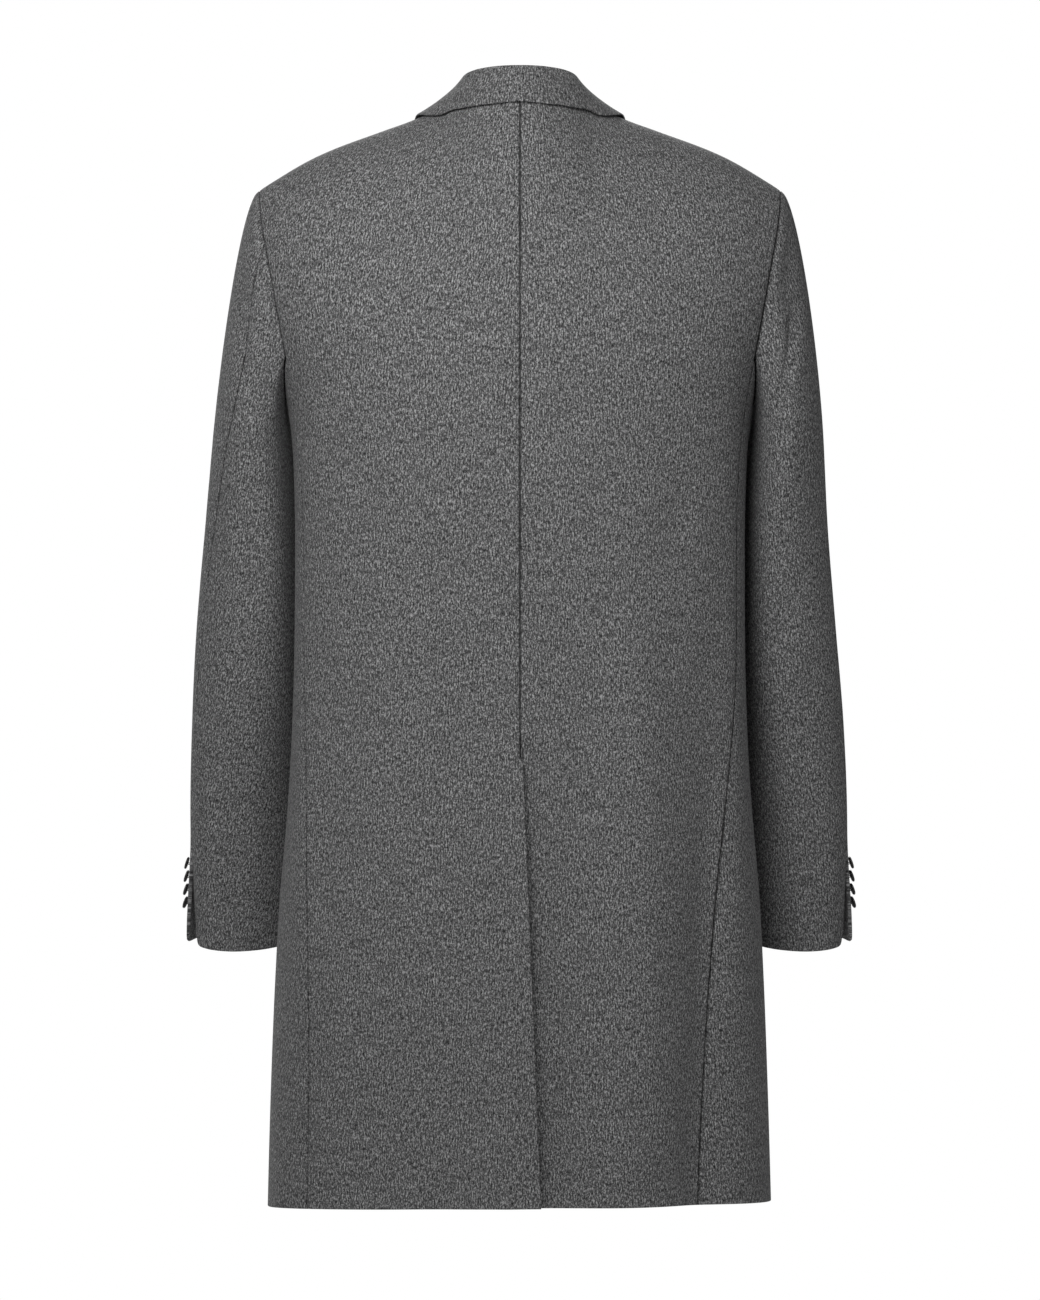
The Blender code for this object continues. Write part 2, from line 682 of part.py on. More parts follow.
def collar_profile(share, along):
    """The collar's visible side: along runs from 0 at the neck seam over the fold to 1 at the outer edge."""
    seam, fold, edge = collar_lines(share)
    step = 0.002
    along_fold = unit(fold_line(share + step) - fold_line(share - step))
    out = edge - fold
    out[..., 2] = 0
    out = unit(out - (out * along_fold).sum(axis=-1, keepdims=True) * along_fold)
    up = np.cross(along_fold, out)
    foot = seam - FOOT_IN * out + FOOT_UP * up
    first = 2 * math.pi + touching(foot - fold, out, up, -1)
    last = touching(edge - fold, out, up, 1)

    def rounded(turn):
        return fold + FOLD_RADIUS * (np.cos(turn) * out + np.sin(turn) * up)

    along = along[..., None]
    rise = np.clip(along / STAND_END, 0, 1)
    bend = np.clip((along - STAND_END) / (FOLD_END - STAND_END), 0, 1)
    fall = np.clip((along - FOLD_END) / (1 - FOLD_END), 0, 1)
    stand = foot + (rounded(first) - foot) * rise
    over = rounded(first + (last - first) * bend)
    start = rounded(last)
    bulge = 4 * fall * (1 - fall) * FALL_BULGE * (np.cos(last) * out + np.sin(last) * up)
    drop = start + (edge - start) * fall + bulge
    picked = np.where(along < STAND_END, stand, np.where(along < FOLD_END, over, drop))
    middle = np.exp(-(((fall[..., 0] - GORGE_DIP_AT) / GORGE_DIP_SPREAD) ** 2))
    dip = GORGE_DIP * smooth(GORGE_DIP_FROM, 1.0, np.abs(share)) * middle
    picked[..., 2] -= dip
    picked[..., 1] -= GORGE_DIP_FORWARD * dip
    return picked


# Solids

def material(recipe):
    name, colour, roughness = recipe
    made = bpy.data.materials.get(name)
    if made is None:
        made = bpy.data.materials.new(name)
        made.use_nodes = True
        shader = made.node_tree.nodes["Principled BSDF"]
        shader.inputs["Base Color"].default_value = (*colour, 1)
        shader.inputs["Roughness"].default_value = roughness
        shader.inputs["Metallic"].default_value = 0
    return made


def place(name, shape, recipe, parent):
    mesh = bpy.data.meshes.new(name)
    bmesh.ops.recalc_face_normals(shape, faces=shape.faces)
    shape.to_mesh(mesh)
    shape.free()
    mesh.shade_smooth()
    mesh.set_sharp_from_angle(angle=math.radians(40))
    mesh.materials.append(material(recipe))
    made = bpy.data.objects.new(name, mesh)
    made.parent = parent
    bpy.context.scene.collection.objects.link(made)
    return made


def outward(point, s, t, guide):
    """The way out of a surface, taken from points close by, on the side that guide gives."""
    step = 0.0005
    across = point(s + step, t) - point(s - step, t)
    along = point(s, t + step) - point(s, t - step)
    normal = unit(np.cross(across, along))
    facing = np.sign((normal * guide).sum(axis=-1, keepdims=True).sum())
    return normal * facing


def wall(name, point, shares, levels, guide, parent, thickness=CLOTH):
    """A closed cloth wall: its visible points, the same points moved in by its thickness, and a rim."""
    s, t = np.meshgrid(np.asarray(shares, float), np.asarray(levels, float))
    outer = point(s, t)
    inner = outer - thickness * outward(point, s, t, np.asarray(guide, float))
    shape = bmesh.new()
    faces = [[[shape.verts.new(p) for p in row] for row in layer] for layer in (outer, inner)]
    rows, columns = s.shape
    for layer in faces:
        for r in range(rows - 1):
            for c in range(columns - 1):
                shape.faces.new((layer[r][c], layer[r][c + 1], layer[r + 1][c + 1], layer[r + 1][c]))
    ring = [(0, c) for c in range(columns)] + [(r, columns - 1) for r in range(1, rows)]
    ring += [(rows - 1, c) for c in range(columns - 2, -1, -1)] + [(r, 0) for r in range(rows - 2, 0, -1)]
    for (r0, c0), (r1, c1) in zip(ring, ring[1:] + ring[:1]):
        shape.faces.new((faces[0][r0][c0], faces[0][r1][c1], faces[1][r1][c1], faces[1][r0][c0]))
    return place(name, shape, WOOL, parent)


def button(name, centre, facing, radius, depth, parent):
    """A turned button: a rounded rim round a shallow dish, its back flat towards the cloth."""
    shape = bmesh.new()
    line = [shape.verts.new((radius * r, 0, depth * h)) for r, h in BUTTON]
    edges = [shape.edges.new(pair) for pair in zip(line, line[1:])]
    bmesh.ops.spin(
        shape,
        geom=line + edges,
        cent=(0, 0, 0),
        axis=(0, 0, 1),
        angle=2 * math.pi,
        steps=BUTTON_SIDES,
        use_merge=True,
    )
    bmesh.ops.remove_doubles(shape, verts=shape.verts, dist=1e-6)
    made = place(name, shape, HORN, parent)
    made.location = centre
    made.rotation_mode = "QUATERNION"
    made.rotation_quaternion = facing.to_track_quat("Z", "Y")
    return made


def spaced(count, low=0.0, high=1.0):
    return np.linspace(low, high, count)


def with_stop(shares, stop):
    """Evenly spaced shares, with the one next to a seam moved onto it."""
    nearest = 1 + int(np.argmin(np.abs(shares[1:-1] - stop)))
    moved = shares.copy()
    moved[nearest] = stop
    return moved


def armhole_shares(sign):
    """Places round the armhole where panels and sleeve both have a point: at the back, under, in front."""
    back = with_stop(spaced(ARM_ROWS, 0, JOIN_TURN), elbow_seam(0.0, sign))
    under = spaced(SIDE_COLUMNS, JOIN_TURN, 1 - JOIN_TURN)
    front = with_stop(spaced(ARM_ROWS, 1 - JOIN_TURN, 1), fore_seam(0.0))
    return back, under, front


def arm_levels(shares, name):
    """How far up a panel the points of its armhole edge are."""
    z = armhole_height(shares)
    rise = (z - CHEST_Z) / (ridge["height"](armhole_edge[name](z)) - CHEST_Z)
    return np.minimum(1 + np.arcsin(np.clip(rise, 0, 1)) / (math.pi / 2), 2 - SHOULDER_GAP)


def build_body(parent):
    point_x = ARMHOLE[-1][1]
    neck = NECK_X / point_x
    across = [*spaced(NECK_COLUMNS, 0, neck)[:-1], *spaced(SHOULDER_COLUMNS, neck, 1)]
    vent_top = (VENT_TOP_Z - HEM_Z) / (CHEST_Z - HEM_Z)
    even = [t for t in spaced(LOWER_ROWS) if abs(t - vent_top) > VENT_ROW_STEP]
    close = [vent_top + step for step in (VENT_ROW_STEP, 0, -VENT_ROW_CLOSE, -VENT_ROW_STEP)]
    lower = sorted([*even, *close])
    for side, sign in (("left", 1), ("right", -1)):
        back, _, front = armhole_shares(sign)
        back_rows = [*lower, *arm_levels(back, "back")[::-1]]
        front_rows = [*lower, *arm_levels(front, "front")]
        wall("back_" + side, back_half(sign), across, back_rows, (0, 1, 0), parent)
        wall("front_" + side, front_half(sign), spaced(SHOULDER_COLUMNS), front_rows, (0, -1, 0), parent)
        wall("side_" + side, side_panel(sign), spaced(SIDE_COLUMNS), [*lower, 2], (sign, 0, 0), parent)


def build_sleeves(parent):
    rows = [*spaced(CAP_ROWS, 0, 1)[:-1], *spaced(TUBE_ROWS, 1, 2)]
    for side, sign in (("left", 1), ("right", -1)):
        back, under, front = armhole_shares(sign)
        elbow = elbow_seam(0.0, sign)
        fore = fore_seam(0.0)
        outer = [*(front[front >= fore] - 1), *back[(back > 0) & (back <= elbow)]]
        inner = [*back[back >= elbow], *under[1:-1], *front[front <= fore]]
        wall("sleeve_top_" + side, top_sleeve(sign), as_shares(outer), rows, (sign, 0, 0.2), parent)
        wall("sleeve_under_" + side, under_sleeve(sign), as_shares(inner), rows, (-sign, 0, 0), parent)


def as_shares(places):
    places = np.array(places, float)
    return (places - places[0]) / (places[-1] - places[0])


def build_collar(parent):
    def point(s, t):
        return collar_profile(t, s)

    sections = spaced(COLLAR_SECTIONS, -COLLAR_END, COLLAR_END)
    wall("collar", point, COLLAR_STOPS, sections, (0, 0, 1), parent, COLLAR_CLOTH)
    for side, sign in (("left", 1), ("right", -1)):
        wall("lapel_" + side, lapel(sign), spaced(LAPEL_ACROSS), spaced(LAPEL_UP), (0, -1, 0), parent)


def build_buttons(parent):
    for side, sign in (("left", 1), ("right", -1)):
        surface = top_sleeve(sign)
        for number in range(CUFF_BUTTONS):
            z = CUFF_BUTTON_TOP_Z - number * CUFF_BUTTON_PITCH
            down = 1 + (z - SLEEVE_TOP_Z) / (CUFF_Z - SLEEVE_TOP_Z)
            girth = elbow_seam(down, sign) - fore_seam(down) + 1
            s = np.array(1 - CUFF_BUTTON_INSET / girth)
            t = np.array(down)
            normal = Vector(outward(surface, s, t, np.array((sign, 0.0, 0.0))))
            hinge = normal.cross(Vector((0, 0, 1))).normalized()
            facing = Matrix.Rotation(CUFF_BUTTON_TILT, 3, hinge) @ normal
            stand = CUFF_BUTTON_RADIUS * math.sin(CUFF_BUTTON_TILT) + SEAM_GAP
            centre = Vector(surface(s, t)) + normal * stand
            name = f"cuff_button_{side}_{number + 1}"
            button(name, centre, facing, CUFF_BUTTON_RADIUS, CUFF_BUTTON_DEPTH, parent)
    for number in range(FRONT_BUTTONS):
        z = FRONT_BUTTON_TOP_Z - number * FRONT_BUTTON_PITCH
        centre = Vector(lying_on_front(np.array(0.0), np.array(z), 1, 2 * SEAM_GAP))
        name = f"front_button_{number + 1}"
        button(name, centre, Vector((0, -1, 0)), FRONT_BUTTON_RADIUS, FRONT_BUTTON_DEPTH, parent)


def main():
    for old in list(bpy.data.objects):
        bpy.data.objects.remove(old)
    coat = bpy.data.objects.new("coat", None)
    bpy.context.scene.collection.objects.link(coat)
    build_body(coat)
    build_sleeves(coat)
    build_collar(coat)
    build_buttons(coat)


main()
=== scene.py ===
"""Looks of a filled-out tailored coat: wool shells on its solids' form, buttons, sewing and a plain studio.

Laid out as a Blender add-on and run as a script. Metres, +Z up; the front faces -Y, the wearer's left is +X.
"""

import json
import math

import bmesh
import bpy
import numpy as np
from bpy.props import FloatProperty, FloatVectorProperty, PointerProperty
from mathutils import Matrix, Vector

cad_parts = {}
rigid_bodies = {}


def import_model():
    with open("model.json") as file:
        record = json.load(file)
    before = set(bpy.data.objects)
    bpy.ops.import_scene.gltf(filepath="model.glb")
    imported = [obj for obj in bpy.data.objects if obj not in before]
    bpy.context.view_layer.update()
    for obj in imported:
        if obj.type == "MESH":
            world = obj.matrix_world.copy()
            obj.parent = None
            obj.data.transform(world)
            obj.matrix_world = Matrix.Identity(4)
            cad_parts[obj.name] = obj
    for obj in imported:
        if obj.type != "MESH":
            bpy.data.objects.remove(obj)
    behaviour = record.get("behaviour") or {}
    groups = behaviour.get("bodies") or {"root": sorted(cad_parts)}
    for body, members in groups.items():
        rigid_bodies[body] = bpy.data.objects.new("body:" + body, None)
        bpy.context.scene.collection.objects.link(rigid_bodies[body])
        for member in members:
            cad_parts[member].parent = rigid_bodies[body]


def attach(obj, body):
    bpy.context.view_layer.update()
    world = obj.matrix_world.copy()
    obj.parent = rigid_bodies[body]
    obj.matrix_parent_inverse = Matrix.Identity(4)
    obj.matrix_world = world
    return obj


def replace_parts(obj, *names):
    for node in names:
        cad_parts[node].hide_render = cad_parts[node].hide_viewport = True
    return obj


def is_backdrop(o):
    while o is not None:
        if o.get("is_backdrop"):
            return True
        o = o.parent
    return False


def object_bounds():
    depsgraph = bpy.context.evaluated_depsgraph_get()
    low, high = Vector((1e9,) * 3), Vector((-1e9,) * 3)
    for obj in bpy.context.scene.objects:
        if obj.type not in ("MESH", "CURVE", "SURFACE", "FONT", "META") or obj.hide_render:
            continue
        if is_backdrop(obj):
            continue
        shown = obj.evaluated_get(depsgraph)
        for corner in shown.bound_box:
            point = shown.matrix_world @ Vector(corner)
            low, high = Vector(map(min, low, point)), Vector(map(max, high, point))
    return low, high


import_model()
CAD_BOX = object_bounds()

bl_info = {
    "name": "Tailored Midi Coat",
    "version": (1, 0, 0),
    "blender": (4, 5, 0),
    "location": "View3D > Sidebar > Coat",
    "description": "Builds the cloth, buttons, sewing and studio of a filled-out wool coat",
    "category": "Add Mesh",
}

ROOT = "root"
SIDES = (("left", 1), ("right", -1))

# Cloth and seams
CLOTH = 0.0020
COLLAR_CLOTH = 0.0016
SEAM_GAP = -0.0001  # below 0, because sewn edges are pressed into each other
BUTTON_REST = 0.0003  # a button's back above the cloth
LAYER_LIFT = 0.0034  # visible face of a lapel or collar above the panel that it lies on

# Body heights
CHEST_Z = -0.250
HEM_Z = -0.960
HEM_RISE_BACK = 0.0065
HEM_RISE_FRONT = 0.0040
HEM_TILT = 0.010  # how much lower the hem hangs towards the wearer's left, for each metre across
VENT_TOP_Z = -0.565
BREAK_Z = -0.380
SQUARENESS = 2.4  # exponent of the body's rounded sections
PANEL_ROUNDS = 8  # rounds in which the heights of a panel's points settle
TOP_ROUNDS = 12  # and the height of the shoulders at a place in plan
TOP_GUESS = 0.02  # how far under the ridge that one starts

# Centre edges
VENT_RUN_TOP = 0.0025  # how far the vent's edge is past the middle at its top
VENT_RUN_HEM = 0.0186  # and at the hem
VENT_NOTCH = 0.004  # height over which the seam opens into the vent
VENT_EASE = 0.024  # height above the vent over which its two layers part
UNDERLAP = 0.036
UNDERLAP_DROP = 0.030  # how far under the vent's top the under layer has its full width
FRONT_OVERLAP = 0.020
LAYER_SHARE = 0.0031  # how far each of two overlapping edges leaves the body's own surface
LAYER_FLAT = 0.004  # how far past the middle it stays there
BACK_LAYER_REACH = 0.090  # distance from the middle where it is back on the surface
FRONT_LAYER_REACH = 0.085
FRONT_LAYER_LOW = 0.070  # heights above the break between which the fronts come together
FRONT_LAYER_HIGH = 0.170
VENT_STAND = 0.0022  # how much further the vent's edges part at the hem

# Neck
NECK_X = 0.070
SHOULDER_GAP = -0.0004  # the shoulder seam's, as a share of a panel's upper part
NAPE_Z = 0.016

# Armhole
SHOULDER_Z = -0.0637
ARMHOLE_LOW_Z = -0.256
ARM_JOIN_Z = -0.215

# Sleeves
SLEEVE_TOP_Z = -0.290
CUFF_Z = -0.7395
CUFF_RISE = 0.019
CAP_PULL = 0.25
CAP_OUT = 0.84  # the way in which the sleeve leaves its seam: out, to the front or the back, and down
CAP_TURN = 0.25
CAP_DOWN = 0.50
CUFF_VENT_Z = -0.630
CUFF_FLARE = 0.0085
CUFF_FLARE_SHARE = 0.13
CUFF_CORNER_TOP = 0.016  # radius of the vent's lower corner on the top sleeve, and on the under sleeve
CUFF_CORNER_UNDER = 0.006
CUFF_PARTING = 0.010  # share of the girth by which the under sleeve's edge draws back at the cuff
CUFF_PARTING_HEIGHT = 0.028
CUFF_GIRTH = 0.31
SLEEVE_OVERRUN = 0.2  # how far past its two ends the sleeve's surface is still worked out

# Collar
FOLD_RADIUS = 0.0034
FALL_BULGE = 0.0012
STAND_END = 0.3  # shares of the collar's width where its stand ends and where its fall starts
FOLD_END = 0.5
FOOT_IN = 0.0028  # how far inside the neck's edge, and above it, the stand starts
FOOT_UP = 0.0008
FRONT_SEAM_POWER = 1.7  # how the collar's seam speeds up down the front
GORGE_DIP = 0.006  # how far the collar's front ends bend down to the lapels
GORGE_DIP_FROM = 0.86
GORGE_DIP_AT = 0.62
GORGE_DIP_SPREAD = 0.3
GORGE_DIP_FORWARD = 0.4
COLLAR_END = 0.996  # share at which its front ends are cut

# Buttons
CUFF_BUTTON_RADIUS = 0.0056
CUFF_BUTTON_DEPTH = 0.0021
CUFF_BUTTON_TOP_Z = -0.6662
CUFF_BUTTON_PITCH = 0.0123
CUFF_BUTTON_INSET = 0.040  # share of the sleeve's girth from the vent's edge
CUFF_BUTTON_TILT = math.radians(15)
CUFF_BUTTONS = 4
FRONT_BUTTON_RADIUS = 0.0140
FRONT_BUTTON_DEPTH = 0.0036
FRONT_BUTTON_TOP_Z = -0.395
FRONT_BUTTON_PITCH = 0.125
FRONT_BUTTONS = 3

# Half the body's section at each height, in plan
BODY_COLUMNS = ("height", "half_width", "back", "front")
BODY = (
    (-0.960, 0.2213, 0.1470, 0.1500),
    (-0.860, 0.2185, 0.1415, 0.1455),
    (-0.760, 0.2150, 0.1360, 0.1405),
    (-0.690, 0.2115, 0.1320, 0.1370),
    (-0.600, 0.2035, 0.1275, 0.1335),
    (-0.520, 0.1980, 0.1245, 0.1300),
    (-0.440, 0.1955, 0.1240, 0.1285),
    (-0.340, 0.1970, 0.1285, 0.1325),
    (-0.250, 0.2070, 0.1330, 0.1360),
    (-0.200, 0.2220, 0.1345, 0.1350),
    (-0.130, 0.2450, 0.1335, 0.1300),
    (-0.060, 0.2600, 0.1290, 0.1230),
    (0.060, 0.2700, 0.1200, 0.1150),
)

# The shoulders' ridge, and where it would run on over the neck opening
RIDGE_COLUMNS = ("across", "height", "lean")
RIDGE = (
    (0.000, 0.0550, -0.0040),
    (0.040, 0.0380, -0.0020),
    (0.070, 0.0100, 0.0000),
    (0.095, -0.0020, -0.0030),
    (0.119, -0.0106, -0.0050),
    (0.186, -0.0370, -0.0060),
    (0.231, SHOULDER_Z, -0.0060),
)
NECK_LEAN = 0.049  # how far back of that ridge the back's neck edge rises

ARMHOLE_COLUMNS = ("height", "back", "front")
ARMHOLE = (
    (ARM_JOIN_Z, 0.2060, 0.1990),
    (-0.180, 0.2125, 0.2020),
    (-0.135, 0.2205, 0.2110),
    (-0.090, 0.2285, 0.2250),
    (SHOULDER_Z, 0.2310, 0.2310),
)

SIDE_SEAM_COLUMNS = ("height", "back_left", "back_right", "front")
SIDE_SEAM = (
    (-0.960, 0.1850, 0.1655, 0.2000),
    (-0.735, 0.1830, 0.1750, 0.1960),
    (-0.515, 0.1840, 0.1840, 0.1840),
    (-0.300, 0.1910, 0.1900, 0.1860),
    (ARM_JOIN_Z, 0.2060, 0.2060, 0.1990),
)

# Soft vertical folds, with bearings from the centre back in degrees, the wearer's left positive
# Columns: bearing at the top, bearing at the hem, spread, top height, depth at the hem
FOLDS = (
    (-30.0, -31.0, 13.0, -0.330, 0.0065),
    (-60.0, -56.0, 12.0, -0.420, -0.0085),
    (-90.0, -86.0, 16.0, -0.500, 0.0008),
    (20.0, 26.0, 14.0, -0.600, -0.0035),
    (88.0, 76.0, 14.0, -0.550, 0.0030),
    (142.0, 146.0, 14.0, -0.420, 0.0055),
    (118.0, 120.0, 12.0, -0.500, -0.0050),
    (-138.0, -142.0, 14.0, -0.480, 0.0050),
    (-116.0, -114.0, 12.0, -0.560, -0.0045),
)

# The sleeve's girth: outer and inner sides, the middle and half of its depth, how far its sides lean out to
# the back, and how far its back itself does
SLEEVE_COLUMNS = ("height", "outer_left", "outer_right", "inner", "middle", "half_depth", "lean", "back_lean")
SLEEVE = (
    (CUFF_Z, 0.2905, 0.2895, 0.1985, -0.0850, 0.0510, 0.20, 0.20),
    (-0.630, 0.2945, 0.2925, 0.1945, -0.0690, 0.0545, 0.24, 0.20),
    (-0.540, 0.2928, 0.2890, 0.1920, -0.0530, 0.0580, 0.26, 0.09),
    (-0.450, 0.2882, 0.2815, 0.1895, -0.0400, 0.0630, 0.26, 0.01),
    (-0.360, 0.2800, 0.2740, 0.1930, -0.0290, 0.0675, 0.22, -0.02),
    (SLEEVE_TOP_Z, 0.2730, 0.2697, 0.2005, -0.0190, 0.0710, 0.14, -0.01),
)

# Share of the girth, from the outer side towards the back, where the sleeve's two seams run
SLEEVE_SEAM_COLUMNS = ("height", "elbow_left", "elbow_right", "fore")
SLEEVE_SEAM = (
    (CUFF_Z, 0.075, 0.075, 0.640),
    (-0.540, 0.086, 0.066, 0.655),
    (-0.315, 0.131, 0.050, 0.680),
    (-0.230, 0.182, 0.046, 0.690),
    (SHOULDER_Z, 0.174, 0.045, 0.700),
)

# Half the collar from the centre back to its front end, in plan, with the fold's height
COLLAR_COLUMNS = ("share", "fold_x", "fold_y", "fold_z", "edge_x", "edge_y")
COLLAR = (
    (0.00, 0.0000, 0.0640, 0.0380, 0.0000, 0.0878),
    (0.10, 0.0137, 0.0614, 0.0379, 0.0197, 0.0836),
    (0.20, 0.0265, 0.0545, 0.0372, 0.0375, 0.0716),
    (0.30, 0.0378, 0.0438, 0.0359, 0.0489, 0.0601),
    (0.40, 0.0462, 0.0290, 0.0335, 0.0605, 0.0455),
    (0.48, 0.0497, 0.0140, 0.0303, 0.0740, 0.0338),
    (0.55, 0.0515, 0.0000, 0.0265, 0.0838, 0.0200),
    (0.78, 0.0545, -0.0520, -0.0060, 0.0968, -0.0440),
    (1.00, 0.0500, -0.0860, -0.0400, 0.1090, -0.0760),
)
COLLAR_SHOULDER = 0.55  # share at which the collar crosses the shoulder seam
COLLAR_END_Z = -0.050

LAPEL_COLUMNS = ("share", "outer_x", "outer_z")
LAPEL = (
    (0.00, -0.006, -0.362),
    (0.25, 0.044, -0.290),
    (0.50, 0.083, -0.222),
    (0.75, 0.114, -0.160),
    (1.00, 0.137, -0.108),
)
LAPEL_LOW_Z = -0.366
LAPEL_INSET = 0.0004
GORGE_Z = -0.064


def through(knots, values):
    """A smooth curve through a table's rows, flat beyond its ends."""
    knots = np.asarray(knots, float)
    values = np.asarray(values, float)
    slopes = np.gradient(values, knots)

    def at(where):
        x = np.clip(where, knots[0], knots[-1])
        i = np.clip(np.searchsorted(knots, x) - 1, 0, len(knots) - 2)
        span = knots[i + 1] - knots[i]
        t = (x - knots[i]) / span
        rise = (t * t * (3 - 2 * t)) * (values[i + 1] - values[i])
        bend = t * (1 - t) * ((1 - t) * slopes[i] - t * slopes[i + 1]) * span
        return values[i] + rise + bend

    return at


def curves(columns, rows):
    """One smooth curve for each named column, over the first column."""
    ordered = np.array(sorted(rows), float)
    return {name: through(ordered[:, 0], ordered[:, k]) for k, name in enumerate(columns) if k}


def smooth(low, high, x):
    """0 below low, 1 above high, and a soft step between."""
    t = np.clip((np.asarray(x, float) - low) / (high - low), 0, 1)
    return t * t * (3 - 2 * t)


def unit(vectors):
    return vectors / np.linalg.norm(vectors, axis=-1, keepdims=True)


body = curves(BODY_COLUMNS, BODY)
ridge = curves(RIDGE_COLUMNS, RIDGE + tuple((-row[0], *row[1:]) for row in RIDGE if row[0] > 0))
armhole_edge = curves(ARMHOLE_COLUMNS, ARMHOLE)
side_seam = curves(SIDE_SEAM_COLUMNS, SIDE_SEAM)
sleeve_form = curves(SLEEVE_COLUMNS, SLEEVE)
sleeve_seam = curves(SLEEVE_SEAM_COLUMNS, SLEEVE_SEAM)
collar_form = curves(
    COLLAR_COLUMNS,
    COLLAR + tuple((-share, -fx, fy, fz, -ex, ey) for share, fx, fy, fz, ex, ey in COLLAR if share > 0),
)
lapel_form = curves(LAPEL_COLUMNS, LAPEL)


# The body's surface

def folded(x, y, z):
    """The body's points with its soft folds pushed in or out along the bearing from the coat's middle."""
    bearing = np.degrees(np.arctan2(x, y))
    push = np.zeros_like(bearing)
    for top_bearing, hem_bearing, spread, top_z, hem_depth in FOLDS:
        down = np.clip((top_z - z) / (top_z - HEM_Z), 0, 1)
        centre = top_bearing + (hem_bearing - top_bearing) * down
        apart = (bearing - centre + 180) % 360 - 180
        push = push + hem_depth * smooth(0, 1, down) * np.exp(-((apart / spread) ** 2))
    turn = np.radians(bearing)
    return np.stack([x + push * np.sin(turn), y + push * np.cos(turn), z], axis=-1)


def ridge_depth(x, face):
    within = np.clip(1 - (x / NECK_X) ** 2, 0, 1)
    return ridge["lean"](x) + np.where(face > 0, NECK_LEAN * within**2, 0)


def arched(x, z, ring):
    """Depth of the body at a height, where the section bends over to the shoulder's ridge above the chest."""
    top = ridge["height"](x)
    rise = np.clip((z - CHEST_Z) / (top - CHEST_Z), 0, 1)
    lean = ridge_depth(x, ring)
    return lean + (ring - lean) * np.sqrt(1 - rise * rise)


def section_depth(x, z, face):
    """Depth of the rounded section, before the shoulder bends it over: face is 1 at the back, -1 in front."""
    reach = np.where(face > 0, body["back"](z), body["front"](z))
    share = np.clip(np.abs(x) / body["half_width"](z), 0, 0.9999)
    return face * reach * (1 - share**SQUARENESS) ** (1 / SQUARENESS)


def torso(x, level, face):
    """A point of the back or the front.

    A level below 0 is metres under the chest, and above 0 an angle up to the ridge.
    """
    x, level = np.broadcast_arrays(np.asarray(x, float), np.asarray(level, float))
    turn = np.clip(level, 0, None)
    top = ridge["height"](x)
    z = np.where(level < 0, CHEST_Z + level, CHEST_Z + (top - CHEST_Z) * np.sin(turn))
    lean = ridge_depth(x, face)
    y = lean + (section_depth(x, z, face) - lean) * np.cos(turn)
    return folded(x, y, z)


def torso_at(x, z, face):
    """A point of the back or the front at a given height."""
    x, z = np.broadcast_arrays(np.asarray(x, float), np.asarray(z, float))
    rise = np.clip((z - CHEST_Z) / (ridge["height"](x) - CHEST_Z), 0, 1)
    return torso(x, np.where(z < CHEST_Z, z - CHEST_Z, np.arcsin(rise)), face)


def flank_section(share, z, sign):
    """Place in plan of the side panel's rounded section: share 0 at its back seam and 1 at its front seam."""
    half = body["half_width"](z)
    name = "back_left" if sign > 0 else "back_right"
    power = SQUARENESS / 2
    start = np.arcsin((side_seam[name](z) / half) ** power)
    end = math.pi - np.arcsin((side_seam["front"](z) / half) ** power)
    turn = start + (end - start) * share
    x = half * np.sin(turn) ** (1 / power)
    reach = np.where(np.cos(turn) > 0, body["back"](z), body["front"](z))
    return sign * x, reach * np.sign(np.cos(turn)) * np.abs(np.cos(turn)) ** (1 / power)


def flank(share, z, sign):
    """A point of the side panel."""
    x, ring = flank_section(share, z, sign)
    return folded(x, arched(x, z, ring), z)


def hem_height(x, y):
    """The hem, a little higher at the middle of the back and of the front than at the sides."""
    back = HEM_RISE_BACK * y / body["back"](HEM_Z)
    front = -HEM_RISE_FRONT * y / body["front"](HEM_Z)
    return HEM_Z + np.where(y > 0, back, front) - HEM_TILT * x


# Panels of the body, each a function of a share across and a share up, where 1 is the chest and 2 the top

def rows_between(edges, top_turn, s, t, face):
    """Points of a panel between its two edges, which are given as x at a height."""
    s, t = np.broadcast_arrays(np.asarray(s, float), np.asarray(t, float))
    inner, outer = edges(np.full_like(s, HEM_Z))
    foot = inner + (outer - inner) * s
    hem = hem_height(foot, section_depth(foot, HEM_Z, face))
    z = np.where(t < 1, CHEST_Z + (hem - CHEST_Z) * (1 - t), CHEST_Z)
    up = np.clip(t - 1, 0, None)
    for _ in range(PANEL_ROUNDS):
        inner, outer = edges(z)
        x = inner + (outer - inner) * s
        turn = up * top_turn(x)
        top = ridge["height"](x)
        z = np.where(t < 1, z, CHEST_Z + (top - CHEST_Z) * np.sin(turn))
    return x, np.where(t < 1, z - CHEST_Z, turn)


def neck_turn(x):
    """How far over the back reaches: to the ridge at the shoulder seam, to the neck seam between them."""
    across = np.clip(np.abs(x) / NECK_X, 0, 1)
    neck = NAPE_Z + (ridge["height"](NECK_X) - NAPE_Z) * across**2
    rise = (neck - CHEST_Z) / (ridge["height"](x) - CHEST_Z)
    return np.where(np.abs(x) < NECK_X, np.arcsin(np.clip(rise, 0, 1)), math.pi / 2)


def shoulder_turn(x):
    return np.full_like(x, math.pi / 2)


def vent_share(z):
    return smooth(VENT_TOP_Z + VENT_EASE, VENT_TOP_Z + VENT_NOTCH, z)


def layer_push(x, z, sign, reach):
    """How far an overlapping edge leaves the body's surface, fading away from the middle."""
    stand = VENT_STAND * np.clip((VENT_TOP_Z - z) / (VENT_TOP_Z - HEM_Z), 0, 1)
    return sign * (LAYER_SHARE + stand) * (1 - smooth(LAYER_FLAT, reach, sign * x))


